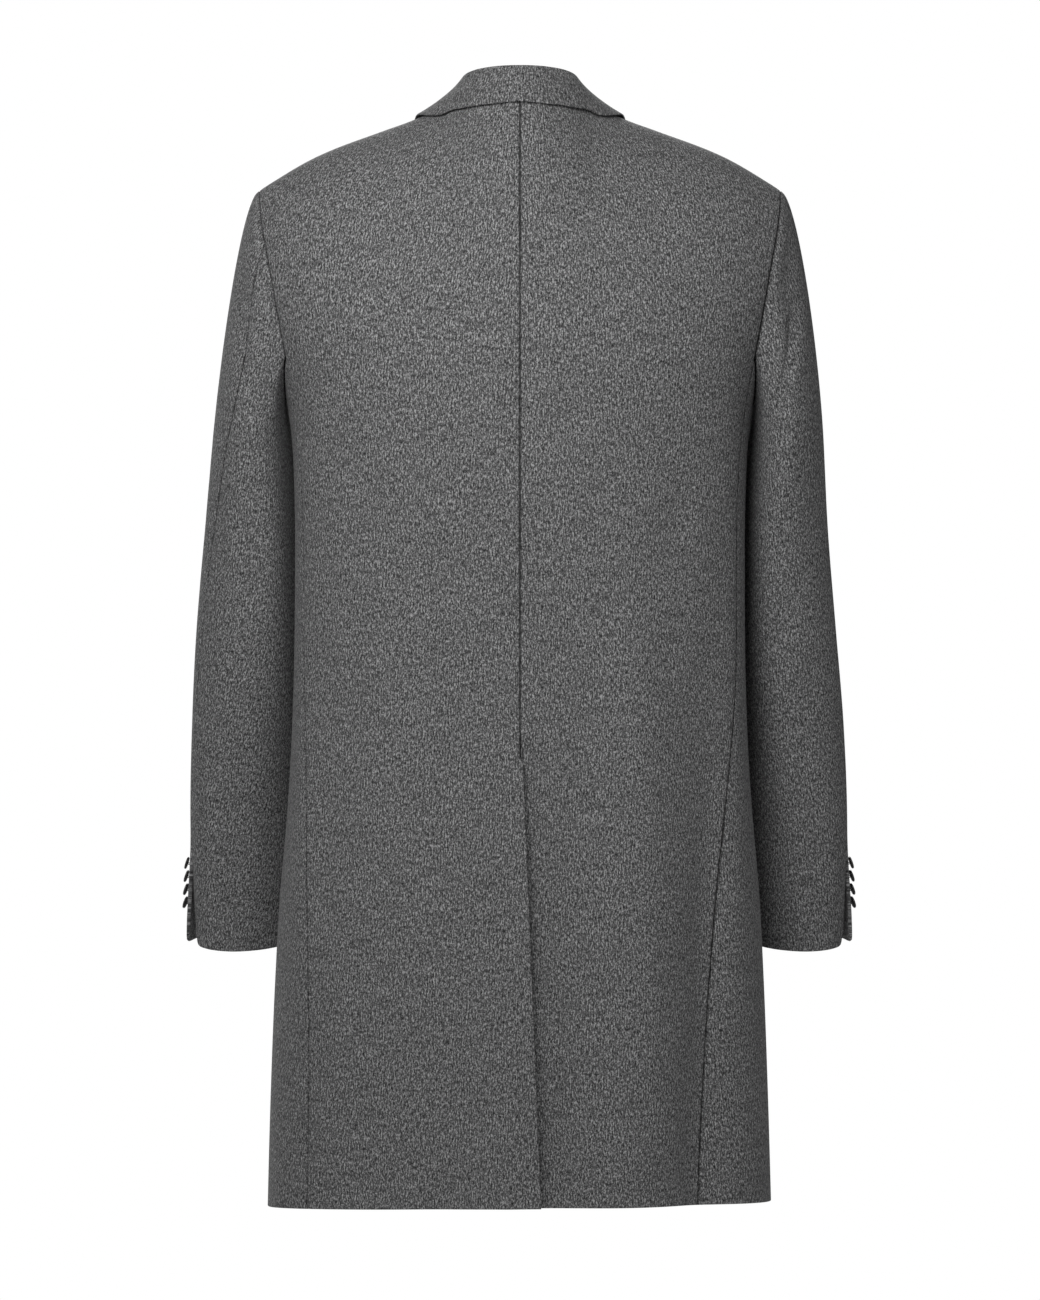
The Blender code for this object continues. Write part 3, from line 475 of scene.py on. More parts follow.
def back_edges(sign):
    """Centre edge and side edge of one half of the back."""
    side = side_seam["back_left" if sign > 0 else "back_right"]

    def edges(z):
        below = np.clip((VENT_TOP_Z - z) / (VENT_TOP_Z - HEM_Z), 0, 1)
        if sign > 0:
            started = smooth(VENT_TOP_Z + VENT_NOTCH / 4, VENT_TOP_Z - VENT_NOTCH, z)
            centre = SEAM_GAP / 2 - started * (VENT_RUN_TOP + (VENT_RUN_HEM - VENT_RUN_TOP) * below)
        else:
            started = smooth(VENT_TOP_Z - VENT_NOTCH, VENT_TOP_Z - UNDERLAP_DROP, z)
            centre = -SEAM_GAP / 2 + started * UNDERLAP
        outer = np.where(z < ARM_JOIN_Z, side(z), armhole_edge["back"](z)) - SEAM_GAP / 2
        return centre, sign * outer

    return edges


def back_half(sign):
    """The back's left (sign 1) or right (-1) half. The left half laps over the right at the vent."""
    edges = back_edges(sign)

    def point(s, t):
        x, level = rows_between(edges, neck_turn, s, t, 1)
        p = torso(x, level, 1)
        p[..., 1] += layer_push(x, p[..., 2], sign, BACK_LAYER_REACH) * vent_share(p[..., 2])
        return p

    return point


def roll_x(z):
    """The lapel's roll line, from the break over the middle to the neck."""
    up = np.clip((z - BREAK_Z) / (ridge["height"](NECK_X) - BREAK_Z), 0, 1)
    return -FRONT_OVERLAP + (NECK_X + FRONT_OVERLAP) * up


def front_edges(sign):
    def edges(z):
        outer = np.where(z < ARM_JOIN_Z, side_seam["front"](z), armhole_edge["front"](z)) - SEAM_GAP / 2
        return sign * roll_x(z), sign * outer

    return edges


def front_push(x, z, sign):
    """The left front laps over the right from the break down."""
    fade = smooth(BREAK_Z + FRONT_LAYER_HIGH, BREAK_Z + FRONT_LAYER_LOW, z)
    return -layer_push(x, np.full_like(z, VENT_TOP_Z), sign, FRONT_LAYER_REACH) * fade


def front_half(sign):
    edges = front_edges(sign)

    def point(s, t):
        x, level = rows_between(edges, shoulder_turn, s, t, -1)
        p = torso(x, level, -1)
        p[..., 1] += front_push(x, p[..., 2], sign)
        return p

    return point


def side_panel(sign):
    """The panel under the arm, from the hem up to the armhole's low curve."""

    def point(s, t):
        s, t = np.broadcast_arrays(np.asarray(s, float), np.asarray(t, float))
        x, y = flank_section(s, np.full_like(s, HEM_Z), sign)
        hem = hem_height(x, y)
        top = armhole_height(JOIN_TURN + (1 - 2 * JOIN_TURN) * s)
        z = np.where(t < 1, CHEST_Z + (hem - CHEST_Z) * (1 - t), CHEST_Z + (ARM_JOIN_Z - CHEST_Z) * (t - 1))
        z = hem + (z - hem) * (top - hem) / (ARM_JOIN_Z - hem)
        return flank(s, z, sign)

    return point


# The armhole and the sleeve

def armhole_height(share):
    """Height of the armhole's seam at a share round it: 0 at the shoulder, a half under the arm."""
    middle = (SHOULDER_Z + ARMHOLE_LOW_Z) / 2
    return middle + (SHOULDER_Z - middle) * np.cos(2 * math.pi * share)


JOIN_TURN = math.acos(
    (ARM_JOIN_Z - (SHOULDER_Z + ARMHOLE_LOW_Z) / 2) / ((SHOULDER_Z - ARMHOLE_LOW_Z) / 2)
) / (2 * math.pi)


def armhole(share, sign):
    """A point of the armhole's seam, which the sleeve is set into."""
    share = np.asarray(share, float) % 1
    z = armhole_height(share)
    back = torso_at(sign * armhole_edge["back"](z), z, 1)
    front = torso_at(sign * armhole_edge["front"](z), z, -1)
    under = flank(np.clip((share - JOIN_TURN) / (1 - 2 * JOIN_TURN), 0, 1), z, sign)
    pick = np.where(share < JOIN_TURN, 0, np.where(share > 1 - JOIN_TURN, 1, 2))[..., None]
    return np.where(pick == 0, back, np.where(pick == 1, front, under))


def sleeve_ring(share, z, sign):
    """A point of the sleeve's girth at a height: share 0 outside, a quarter at the back, a half inside."""
    outer = sleeve_form["outer_left" if sign > 0 else "outer_right"](z)
    inner = sleeve_form["inner"](z)
    turn = 2 * math.pi * share
    half_depth = sleeve_form["half_depth"](z)
    lean = sleeve_form["lean"](z)
    half_width = np.sqrt(((outer - inner) / 2) ** 2 - (lean * half_depth) ** 2)
    slant = half_depth * (lean + (sleeve_form["back_lean"](z) - lean) * smooth(0, 1, np.sin(turn)))
    x = (outer + inner) / 2 + half_width * np.cos(turn) + slant * np.sin(turn)
    y = sleeve_form["middle"](z) + half_depth * np.sin(turn)
    return np.stack([sign * x, y, z + np.zeros_like(x)], axis=-1)


def sleeve_surface(share, down, sign):
    """The sleeve: down runs from 0 at the armhole over 1 at the top of the tube to 2 at the cuff."""
    share, down = np.broadcast_arrays(np.asarray(share, float), np.asarray(down, float))
    turn = 2 * math.pi * share
    start = armhole(share, sign)
    tube = np.clip(down - 1, 0, 1 + SLEEVE_OVERRUN)
    rise = CUFF_RISE * (0.5 - 0.5 * np.sin(turn)) * tube**3
    z = SLEEVE_TOP_Z + (CUFF_Z - SLEEVE_TOP_Z) * tube + rise
    ring = sleeve_ring(share, z, sign)
    step = 0.01
    end = sleeve_ring(share, np.full_like(share, SLEEVE_TOP_Z), sign)
    below = sleeve_ring(share, np.full_like(share, SLEEVE_TOP_Z - step), sign)
    chord = np.linalg.norm(end - start, axis=-1, keepdims=True)
    level = np.ones_like(turn)
    leave = unit(np.stack([CAP_OUT * sign * level, -CAP_TURN * np.sin(turn), -CAP_DOWN * level], axis=-1))
    arrive = unit(below - end)
    w = np.clip(down, -SLEEVE_OVERRUN, 1)[..., None]
    cap = (
        (2 * w**3 - 3 * w**2 + 1) * start
        + (w**3 - 2 * w**2 + w) * CAP_PULL * chord * leave
        + (3 * w**2 - 2 * w**3) * end
        + (w**3 - w**2) * chord * arrive
    )
    set_in = SEAM_GAP * leave
    return np.where((down < 1)[..., None], cap + set_in, ring + set_in)


def sleeve_height(down):
    """The height that the seams' tables are read at."""
    cap = SHOULDER_Z + (SLEEVE_TOP_Z - SHOULDER_Z) * np.clip(down, 0, 1)
    return cap + (CUFF_Z - SLEEVE_TOP_Z) * np.clip(down - 1, 0, 1)


def elbow_seam(down, sign):
    return sleeve_seam["elbow_left" if sign > 0 else "elbow_right"](sleeve_height(down))


def fore_seam(down):
    return sleeve_seam["fore"](sleeve_height(down))


def girth_gap(down):
    """Half a seam's gap as a share of the girth."""
    return SEAM_GAP / (4 * sleeve_form["half_depth"](sleeve_height(down)))


def rounded_corner(gap, radius, t):
    """Levels down the sleeve, drawn up near the vent's edge so that the cuff's corner is round."""
    inset = np.clip(1 - gap / radius, 0, 1)
    lift = radius * (1 - np.sqrt(1 - inset**2)) / (SLEEVE_TOP_Z - CUFF_Z)
    return np.where(t > 1, 1 + (t - 1) * (1 - lift), t)


def top_sleeve(sign):
    """The outer half, from the fore-arm seam to the elbow seam, where its cuff end flares."""

    def point(s, t):
        s, t = np.broadcast_arrays(np.asarray(s, float), np.asarray(t, float))
        gap = girth_gap(t)
        first = fore_seam(t) - 1 + gap
        last = elbow_seam(t, sign) - gap
        share = first + (last - first) * s
        p = sleeve_surface(share, rounded_corner((last - share) * CUFF_GIRTH, CUFF_CORNER_TOP, t), sign)
        near = smooth(last - CUFF_FLARE_SHARE, last, share)
        flare = CUFF_FLARE * near * smooth(CUFF_VENT_Z, CUFF_Z, p[..., 2])
        p[..., 0] += sign * flare
        return p

    return point


def under_sleeve(sign):
    """The inner half, from the elbow seam behind the arm to the fore-arm seam."""

    def point(s, t):
        s, t = np.broadcast_arrays(np.asarray(s, float), np.asarray(t, float))
        gap = girth_gap(t)
        first = elbow_seam(t, sign) + gap
        first = first + CUFF_PARTING * smooth(CUFF_Z + CUFF_PARTING_HEIGHT, CUFF_Z, sleeve_height(t)) ** 2
        last = fore_seam(t) - gap
        share = first + (last - first) * s
        levels = rounded_corner((share - first) * CUFF_GIRTH, CUFF_CORNER_UNDER, t)
        return sleeve_surface(share, levels, sign)

    return point


# Lapels and collar

def lying_on_front(x, z, sign, lift):
    """Points of a front's surface, moved out."""
    step = 0.0005

    def surface(px, pz):
        p = torso_at(px, pz, -1)
        p[..., 1] += front_push(px, pz, sign)
        return p

    across = surface(x + step, z) - surface(x - step, z)
    along = surface(x, z + step) - surface(x, z - step)
    return surface(x, z) + lift * unit(np.cross(across, along))


def top_height(x, y):
    """Height of the shoulders' upper surface at a place in plan."""
    face = np.where(y > ridge["lean"](x), 1, -1)
    z = ridge["height"](x) - TOP_GUESS
    lean = ridge_depth(x, face)
    for _ in range(TOP_ROUNDS):
        ring = section_depth(x, z, face)
        cosine = np.clip((y - lean) / (ring - lean), 0, 1)
        z = CHEST_Z + (ridge["height"](x) - CHEST_Z) * np.sqrt(1 - cosine**2)
    return z


def plan_normal(x, y):
    """The way out of the shoulders' upper surface at a place in plan."""
    step = 0.001
    slope_x = (top_height(x + step, y) - top_height(x - step, y)) / (2 * step)
    slope_y = (top_height(x, y + step) - top_height(x, y - step)) / (2 * step)
    return unit(np.stack([-slope_x, -slope_y, np.ones_like(slope_x)], axis=-1))


def neck_line(at):
    """The neck's edge at a share from the centre back: the back's neck seam, then the front's roll line."""
    x = NECK_X * np.clip(at / COLLAR_SHOULDER, 0, 1)
    back = torso(x, neck_turn(x), 1)
    down = np.clip((at - COLLAR_SHOULDER) / (1 - COLLAR_SHOULDER), 0, 1)
    z = ridge["height"](NECK_X) + (COLLAR_END_Z - ridge["height"](NECK_X)) * down**FRONT_SEAM_POWER
    front = torso_at(roll_x(z), z, -1)
    return np.where((at < COLLAR_SHOULDER)[..., None], back, front)


def fold_line(share):
    return np.stack([collar_form[name](share) for name in ("fold_x", "fold_y", "fold_z")], axis=-1)


def collar_lines(share):
    """Neck seam, fold and outer edge of the collar: share runs from -1 at its right end to 1 at its left."""
    x = collar_form["edge_x"](share)
    y = collar_form["edge_y"](share)
    edge = np.stack([x, y, top_height(x, y)], axis=-1) + LAYER_LIFT * plan_normal(x, y)
    seam = neck_line(np.abs(share))
    seam[..., 0] *= np.where(share < 0, -1, 1)
    return seam, fold_line(share), edge


def touching(step, out, up, side):
    """Angle at which a line from the end of a step touches the fold's round, in the collar's section."""
    across = (step * out).sum(axis=-1, keepdims=True)
    rise = (step * up).sum(axis=-1, keepdims=True)
    return np.arctan2(rise, across) + side * np.arccos(FOLD_RADIUS / np.hypot(across, rise))


def collar_profile(share, along):
    """The collar's visible side: along runs from 0 at the neck seam over the fold to 1 at the outer edge."""
    seam, fold, edge = collar_lines(share)
    step = 0.002
    along_fold = unit(fold_line(share + step) - fold_line(share - step))
    out = edge - fold
    out[..., 2] = 0
    out = unit(out - (out * along_fold).sum(axis=-1, keepdims=True) * along_fold)
    up = np.cross(along_fold, out)
    foot = seam - FOOT_IN * out + FOOT_UP * up
    first = 2 * math.pi + touching(foot - fold, out, up, -1)
    last = touching(edge - fold, out, up, 1)

    def rounded(turn):
        return fold + FOLD_RADIUS * (np.cos(turn) * out + np.sin(turn) * up)

    along = along[..., None]
    rise = np.clip(along / STAND_END, 0, 1)
    bend = np.clip((along - STAND_END) / (FOLD_END - STAND_END), 0, 1)
    fall = np.clip((along - FOLD_END) / (1 - FOLD_END), 0, 1)
    stand = foot + (rounded(first) - foot) * rise
    over = rounded(first + (last - first) * bend)
    start = rounded(last)
    bulge = 4 * fall * (1 - fall) * FALL_BULGE * (np.cos(last) * out + np.sin(last) * up)
    drop = start + (edge - start) * fall + bulge
    picked = np.where(along < STAND_END, stand, np.where(along < FOLD_END, over, drop))
    middle = np.exp(-(((fall[..., 0] - GORGE_DIP_AT) / GORGE_DIP_SPREAD) ** 2))
    dip = GORGE_DIP * smooth(GORGE_DIP_FROM, 1.0, np.abs(share)) * middle
    picked[..., 2] -= dip
    picked[..., 1] -= GORGE_DIP_FORWARD * dip
    return picked


# Finer form than the solids have: soft creases given one by one, troughs below 0 and ridges above

# On the back (face 1) and the fronts (face -1), on one half (1 is the wearer's left) or both (0)
# Columns: face, half, x and z of one end, x and z of the other end, half the width, height
BODY_CREASES = (
    (1, 0, -0.001, -0.553, -0.026, -0.584, 0.0060, -0.0010),
    (1, -1, -0.104, -0.380, -0.112, -1.020, 0.0290, 0.0085),
    (1, -1, -0.172, -0.560, -0.156, -1.040, 0.0190, -0.0085),
    (1, -1, -0.060, -0.440, -0.064, -0.990, 0.0190, -0.0028),
    (1, -1, -0.017, -0.555, -0.031, -0.985, 0.0135, -0.0060),
    (1, 1, -0.004, -0.580, -0.017, -0.995, 0.0110, 0.0038),
    (1, 1, 0.022, -0.440, 0.036, -0.600, 0.0220, -0.0016),
    (1, 1, 0.044, -0.790, 0.052, -0.960, 0.0220, -0.0030),
    (1, 1, 0.044, -0.900, 0.004, -0.975, 0.0120, 0.0022),
    (1, 0, 0.150, -0.300, 0.118, -0.430, 0.0160, -0.0014),
    (1, 0, -0.158, -0.290, -0.120, -0.400, 0.0150, -0.0016),
    (1, 0, -0.168, -0.330, -0.142, -0.455, 0.0130, 0.0010),
    (1, -1, -0.164, -0.240, -0.162, -0.480, 0.0220, 0.0030),
    (1, -1, -0.185, -0.250, -0.186, -0.780, 0.0140, 0.0060),
    (1, 1, 0.186, -0.250, 0.188, -0.800, 0.0140, 0.0060),
    (1, -1, -0.120, -0.425, -0.124, -0.530, 0.0180, -0.0015),
    (1, 1, 0.166, -0.300, 0.162, -0.520, 0.0200, 0.0020),
    (1, 0, 0.110, -0.060, 0.150, -0.150, 0.0300, -0.0014),
    (1, 0, -0.105, -0.055, -0.150, -0.150, 0.0300, -0.0016),
    (1, 0, 0.190, -0.118, -0.060, -0.106, 0.0240, -0.0022),
    (1, 0, 0.150, -0.048, 0.020, -0.030, 0.0160, 0.0014),
    (-1, 0, 0.020, -0.405, 0.105, -0.452, 0.0110, -0.0014),
    (-1, 0, -0.024, -0.400, -0.096, -0.462, 0.0120, -0.0016),
    (-1, 0, 0.150, -0.285, 0.120, -0.420, 0.0150, -0.0018),
    (-1, 0, -0.150, -0.300, -0.124, -0.440, 0.0140, -0.0016),
    (-1, 0, 0.030, -0.660, 0.062, -0.930, 0.0200, -0.0022),
    (-1, 0, -0.048, -0.700, -0.070, -0.940, 0.0180, -0.0020),
)

# On the sleeves (side 1 is the wearer's left), by share of the girth and height
# Columns: side, share and z of one end, share and z of the other end, half the width, height
SLEEVE_CREASES = (
    (1, 0.240, -0.300, 0.262, -0.460, 0.0125, -0.0040),
    (1, 0.170, -0.420, 0.330, -0.500, 0.0110, -0.0022),
    (1, 0.245, -0.540, 0.255, -0.700, 0.0140, -0.0034),
    (1, 0.100, -0.130, 0.220, -0.230, 0.0140, -0.0022),
    (-1, 0.150, -0.105, 0.190, -0.200, 0.0180, -0.0042),
    (-1, 0.150, -0.165, 0.330, -0.250, 0.0100, -0.0038),
    (-1, 0.240, -0.250, 0.270, -0.360, 0.0140, 0.0022),
    (-1, 0.160, -0.400, 0.340, -0.470, 0.0110, -0.0028),
    (-1, 0.260, -0.540, 0.230, -0.700, 0.0150, -0.0024),
    (1, 0.640, -0.395, 0.860, -0.440, 0.0090, -0.0030),
    (1, 0.660, -0.455, 0.840, -0.478, 0.0080, -0.0024),
    (-1, 0.650, -0.385, 0.850, -0.432, 0.0090, -0.0028),
    (-1, 0.670, -0.446, 0.870, -0.482, 0.0085, -0.0026),
)
GIRTH = 0.34  # metres round the sleeve, for the creases' widths
CREASE_PAST = 0.15  # share of its length by which a crease runs out past its ends
CREASE_FULL = 0.30  # and share from each end where it has its full height
FLANK_TURN = 0.03  # depth over which the back's creases give way to the front's on a side panel

# Lapel's turn at its roll line
ROLL_RADIUS = 0.0021
ROLL_SHARE = 0.06
ROLL_TURN = math.radians(125)

# How the cloth's edges are finished
EDGE_STEPS = (0.0, 0.0003, 0.0007, 0.0012, 0.0020, 0.0034)
EDGE_RADIUS = 0.0012
SEAM_DEPTH = 0.92  # share of the cloth's thickness at which sewn edges meet
SEAM_VALLEY = 0.0005
SEAM_VALLEY_WIDTH = 0.0040
SEAM_SHADE_WIDTH = 0.0011  # how far from a seam the painted shade along its groove reaches
TURN_UP = 0.036  # width of the cloth turned in at a free edge
TURN_UP_STEP = 0.003  # width over which it thins out
TURN_UP_EXTRA = 0.0012  # how much thicker it makes the edge, on the hidden side
SEAM_END = 0.010  # half the height over which a seam opens into a vent

# Painted shade along the seams' grooves: how dark it is on both pieces that each seam joins, and the height
# under which it goes soft; other seams have the middle value all along
# Columns: piece, its side, shade, height
SEAM_SHADES = (
    ("back_left", "first", 0.80, HEM_Z),
    ("back_right", "first", 0.80, HEM_Z),
    ("back_left", "last", 0.35, HEM_Z),
    ("back_right", "last", 0.85, HEM_Z),
    ("side_left", "first", 0.35, HEM_Z),
    ("side_right", "first", 0.85, HEM_Z),
    ("sleeve_under_left", "low", 0.75, -0.115),
    ("sleeve_top_left", "low", 0.60, HEM_Z),
    ("sleeve_under_right", "low", 0.90, HEM_Z),
    ("sleeve_top_right", "low", 0.90, HEM_Z),
    ("sleeve_top_left", "last", 0.75, HEM_Z),
    ("sleeve_under_left", "first", 0.75, HEM_Z),
    ("sleeve_top_right", "last", 0.50, HEM_Z),
    ("sleeve_under_right", "first", 0.50, HEM_Z),
)
SEAM_SOFT_RUN = 0.040  # height over which a seam's painted shade fades out
SEAM_SHADE_MIDDLE = 0.60
GRAIN_STEP = (0.731, 0.377)  # how far each piece's cloth is cut from the next one's
CUT_ORDER = (
    "back_left",
    "back_right",
    "side_left",
    "side_right",
    "front_left",
    "front_right",
    "lapel_left",
    "lapel_right",
    "collar",
    "sleeve_top_left",
    "sleeve_top_right",
    "sleeve_under_left",
    "sleeve_under_right",
)


def crease_height(across, up, rows):
    """Sum of soft troughs and ridges that run straight from place to place and fade at both ends."""
    total = np.zeros_like(across)
    for across_from, up_from, across_to, up_to, half_width, height in rows:
        run = np.array((across_to - across_from, up_to - up_from))
        length = np.linalg.norm(run)
        along = ((across - across_from) * run[0] + (up - up_from) * run[1]) / length**2
        aside = ((across - across_from) * run[1] - (up - up_from) * run[0]) / length
        ends = smooth(-CREASE_PAST, CREASE_FULL, along) * smooth(1 + CREASE_PAST, 1 - CREASE_FULL, along)
        total += height * ends * np.exp(-((aside / half_width) ** 2))
    return total


def body_creases(face, sign):
    """Creases of one half of the back or of the front; a row of half 0 crosses both."""
    rows = [row[2:] for row in BODY_CREASES if row[0] == face and row[1] in (0, sign)]
    return lambda s, t, p: crease_height(p[..., 0], p[..., 2], rows)


def flank_creases(sign):
    """Creases of a side panel, which run on from the back and from the front."""
    back, front = body_creases(1, sign), body_creases(-1, sign)

    def height(s, t, p):
        turned = smooth(-FLANK_TURN, FLANK_TURN, p[..., 1])
        return turned * back(s, t, p) + (1 - turned) * front(s, t, p)

    return height


def sleeve_creases(sign, share_at):
    """Creases of a sleeve piece, whose own share across is turned into the girth's."""
    rows = [
        (a * GIRTH, z0, b * GIRTH, z1, width, height)
        for side, a, z0, b, z1, width, height in SLEEVE_CREASES
        if side == sign
    ]
    return lambda s, t, p: crease_height((share_at(s, t) % 1) * GIRTH, sleeve_height(t), rows)


def rolled_lapel(sign):
    """The lapel with its turn over the roll line."""

    def point(s, t):
        s, t = np.broadcast_arrays(np.asarray(s, float), np.asarray(t, float))
        turn = ROLL_TURN * np.clip((ROLL_SHARE - s) / ROLL_SHARE, 0, 1)
        flat = np.clip((s - ROLL_SHARE) / (1 - ROLL_SHARE), 0, 1)
        roll_z = LAPEL_LOW_Z + (GORGE_Z - LAPEL_LOW_Z) * t
        inner = roll_x(roll_z) + LAPEL_INSET
        x = inner + (lapel_form["outer_x"](t) - inner) * flat - ROLL_RADIUS * np.sin(turn)
        z = roll_z + (lapel_form["outer_z"](t) - roll_z) * flat
        lift = LAYER_LIFT - ROLL_RADIUS * (1 - np.cos(turn))
        return lying_on_front(sign * x, z, sign, lift[..., None])

    return point


def always(z):
    return np.ones_like(z)


def above_vent(z):
    return smooth(VENT_TOP_Z - SEAM_END, VENT_TOP_Z + SEAM_END, z)


def below_vent(z):
    return 1 - above_vent(z)


def above_cuff_vent(z):
    return smooth(CUFF_VENT_Z - SEAM_END, CUFF_VENT_Z + SEAM_END, z)


def below_cuff_vent(z):
    return 1 - above_cuff_vent(z)


def metre_stops(length, cell):
    """Places along a length: close together where the cloth turns over at its two ends, and even between."""
    ends = np.array(EDGE_STEPS)
    even = np.linspace(ends[-1], length - ends[-1], max(3, round((length - 2 * ends[-1]) / cell) + 1))
    return np.concatenate([ends[:-1], even, length - ends[-2::-1]])


def stops(lengths, cell, first=0.0, last=None):
    """Shares along a side made of stretches, each a whole share long."""
    marks = np.concatenate([[0], np.cumsum(lengths)])
    values = np.arange(len(marks), dtype=float) + first
    if last is not None:
        values[-1] = last
    return np.interp(metre_stops(marks[-1], cell), marks, values)


class Panel:
    """One cut piece of cloth: its surface, the side that shows, its creases and how its edges end."""

    def __init__(
        self,
        name,
        point,
        shares,
        levels,
        guide,
        seams,
        free,
        crease=None,
        thickness=CLOTH,
        grain_across=False,
    ):
        self.name = name
        self.point = point
        self.shares = np.asarray(shares, float)
        self.levels = np.asarray(levels, float)
        self.guide = np.asarray(guide, float)
        self.seams = seams
        self.free = free
        self.crease = crease
        self.thickness = thickness
        self.grain_across = grain_across

    def skin(self, s, t):
        """Points of the visible side, with its creases."""
        s, t = np.broadcast_arrays(np.asarray(s, float), np.asarray(t, float))
        p = self.point(s, t)
        if self.crease is None:
            return p
        return p + outward(self.point, s, t, self.guide) * self.crease(s, t, p)[..., None]

    def out(self, s, t):
        return outward(self.skin, s, t, self.guide)

    def grid(self):
        return np.meshgrid(self.shares, self.levels)


def outward(point, s, t, guide):
    """The way out of a surface, taken from points close by, on the side that guide gives."""
    step = 0.0005
    normal = unit(np.cross(point(s + step, t) - point(s - step, t), point(s, t + step) - point(s, t - step)))
    return normal * np.sign((normal * guide).sum())


def run_lengths(points, axis):
    """Distance along the rows (axis 1) or the columns (axis 0) of a grid of points."""
    steps = np.linalg.norm(np.diff(points, axis=axis), axis=-1)
    start = np.zeros_like(np.take(steps, [0], axis=axis))
    return np.concatenate([start, np.cumsum(steps, axis=axis)], axis=axis)


def edge_distances(points):
    across = run_lengths(points, 1)
    along = run_lengths(points, 0)
    return {
        "first": across,
        "last": across[:, -1:] - across,
        "low": along,
        "high": along[-1:] - along,
    }


def flat_cut(points):
    """Width and length of the flat cut, and its area."""
    width = float(run_lengths(points, 1)[:, -1].max())
    length = float(run_lengths(points, 0)[-1].max())
    across = points[:-1, 1:] - points[:-1, :-1]
    along = points[1:, :-1] - points[:-1, :-1]
    area = float(np.linalg.norm(np.cross(across, along), axis=-1).sum())
    return (width, length), min(area, width * length)


def quads(layer):
    """Faces between the rows and columns of a grid of point numbers."""
    corners = (layer[:-1, :-1], layer[:-1, 1:], layer[1:, 1:], layer[1:, :-1])
    return np.stack(corners, axis=-1).reshape(-1, 4)


def cell_areas(points):
    """Area of each cell of a grid, from its diagonals."""
    first = points[1:, 1:] - points[:-1, :-1]
    second = points[1:, :-1] - points[:-1, 1:]
    return np.linalg.norm(np.cross(first, second), axis=-1) / 2


def laid_flat(points, grain_across):
    """Where each point of a panel lies on the flat cloth, in metres, with the grain along the second axis."""
    rows, columns = points.shape[:2]
    faces = quads(np.arange(rows * columns).reshape(rows, columns))
    mesh = bpy.data.meshes.new("flat_layout")
    mesh.from_pydata(points.reshape(-1, 3).tolist(), [], faces.tolist())
    mesh.uv_layers.new(name="flat")
    made = bpy.data.objects.new("flat_layout", mesh)
    bpy.context.scene.collection.objects.link(made)
    for other in bpy.context.view_layer.objects:
        other.select_set(other == made)
    bpy.context.view_layer.objects.active = made
    bpy.ops.object.mode_set(mode="EDIT")
    bpy.ops.mesh.select_all(action="SELECT")
    bpy.ops.uv.unwrap(method="CONFORMAL", margin=0)
    bpy.ops.object.mode_set(mode="OBJECT")
    values = np.empty(2 * len(mesh.loops))
    mesh.uv_layers["flat"].data.foreach_get("uv", values)
    flat = np.zeros((rows * columns, 2))
    flat[faces.ravel()] = values.reshape(-1, 2)
    flat = flat.reshape(rows, columns, 2)
    bpy.data.objects.remove(made)
    bpy.data.meshes.remove(mesh)
    level = np.concatenate([flat, np.zeros((rows, columns, 1))], axis=-1)
    flat = flat * math.sqrt(cell_areas(points).sum() / cell_areas(level).sum())
    low, high = rows // 12, -rows // 3  # rows clear of the hem and of the shoulder
    ends = (flat[:, 0], flat[:, -1]) if grain_across else (flat[low], flat[high])
    grain = unit(ends[1].mean(axis=0) - ends[0].mean(axis=0))
    turned = np.stack([flat @ np.array((grain[1], -grain[0])), flat @ grain], axis=-1)
    return turned - turned.reshape(-1, 2).min(axis=0)


def two_sides(panel):
    """The panel's visible and hidden sides, its cloth coordinates, the painted shade along its seams and its
    ways out.

    The two sides meet in a rounded edge.
    """
    s, t = panel.grid()
    skin = panel.skin(s, t)
    out = panel.out(s, t)
    near = edge_distances(skin)
    height = skin[..., 2]
    closest = np.minimum.reduce(list(near.values()))
    drop = np.zeros_like(height)
    rise = np.zeros_like(height)
    for side, distance in near.items():
        inset = np.clip(1 - distance / EDGE_RADIUS, 0, 1)
        turn = panel.thickness * (1 - np.sqrt(1 - inset**2))
        sewn = panel.seams[side](height) if side in panel.seams else 0
        depth = 0.5 + (SEAM_DEPTH - 0.5) * sewn
        drop = np.maximum(drop, turn * depth)
        rise = np.maximum(rise, turn * (1 - depth))
    valley = np.zeros_like(drop)
    shade = np.zeros_like(drop)
    # Painted shade: a dark line along each sewn edge, standing in for the shadow in the seam's groove
    painted_seam_shade = {(piece, side): (value, below) for piece, side, value, below in SEAM_SHADES}
    for side, weight in panel.seams.items():
        sewn = weight(height)
        valley += SEAM_VALLEY * sewn * np.exp(-((near[side] / SEAM_VALLEY_WIDTH) ** 2))
        dark, below = painted_seam_shade.get((panel.name, side), (SEAM_SHADE_MIDDLE, HEM_Z))
        dark = dark * sewn * smooth(below - SEAM_SOFT_RUN, below, height)
        shade = np.maximum(shade, dark * np.exp(-((near[side] / SEAM_SHADE_WIDTH) ** 2)))
    turned = np.zeros_like(drop)
    for side, weight in panel.free.items():
        turned = np.maximum(turned, weight(height) * smooth(TURN_UP, TURN_UP - TURN_UP_STEP, near[side]))
    turned *= TURN_UP_EXTRA * smooth(0, 3 * EDGE_RADIUS, closest)
    shown = skin - out * (drop + valley)[..., None]
    hidden = skin - out * (panel.thickness + turned - rise + valley)[..., None]
    return shown, hidden, laid_flat(skin, panel.grain_across), shade, out


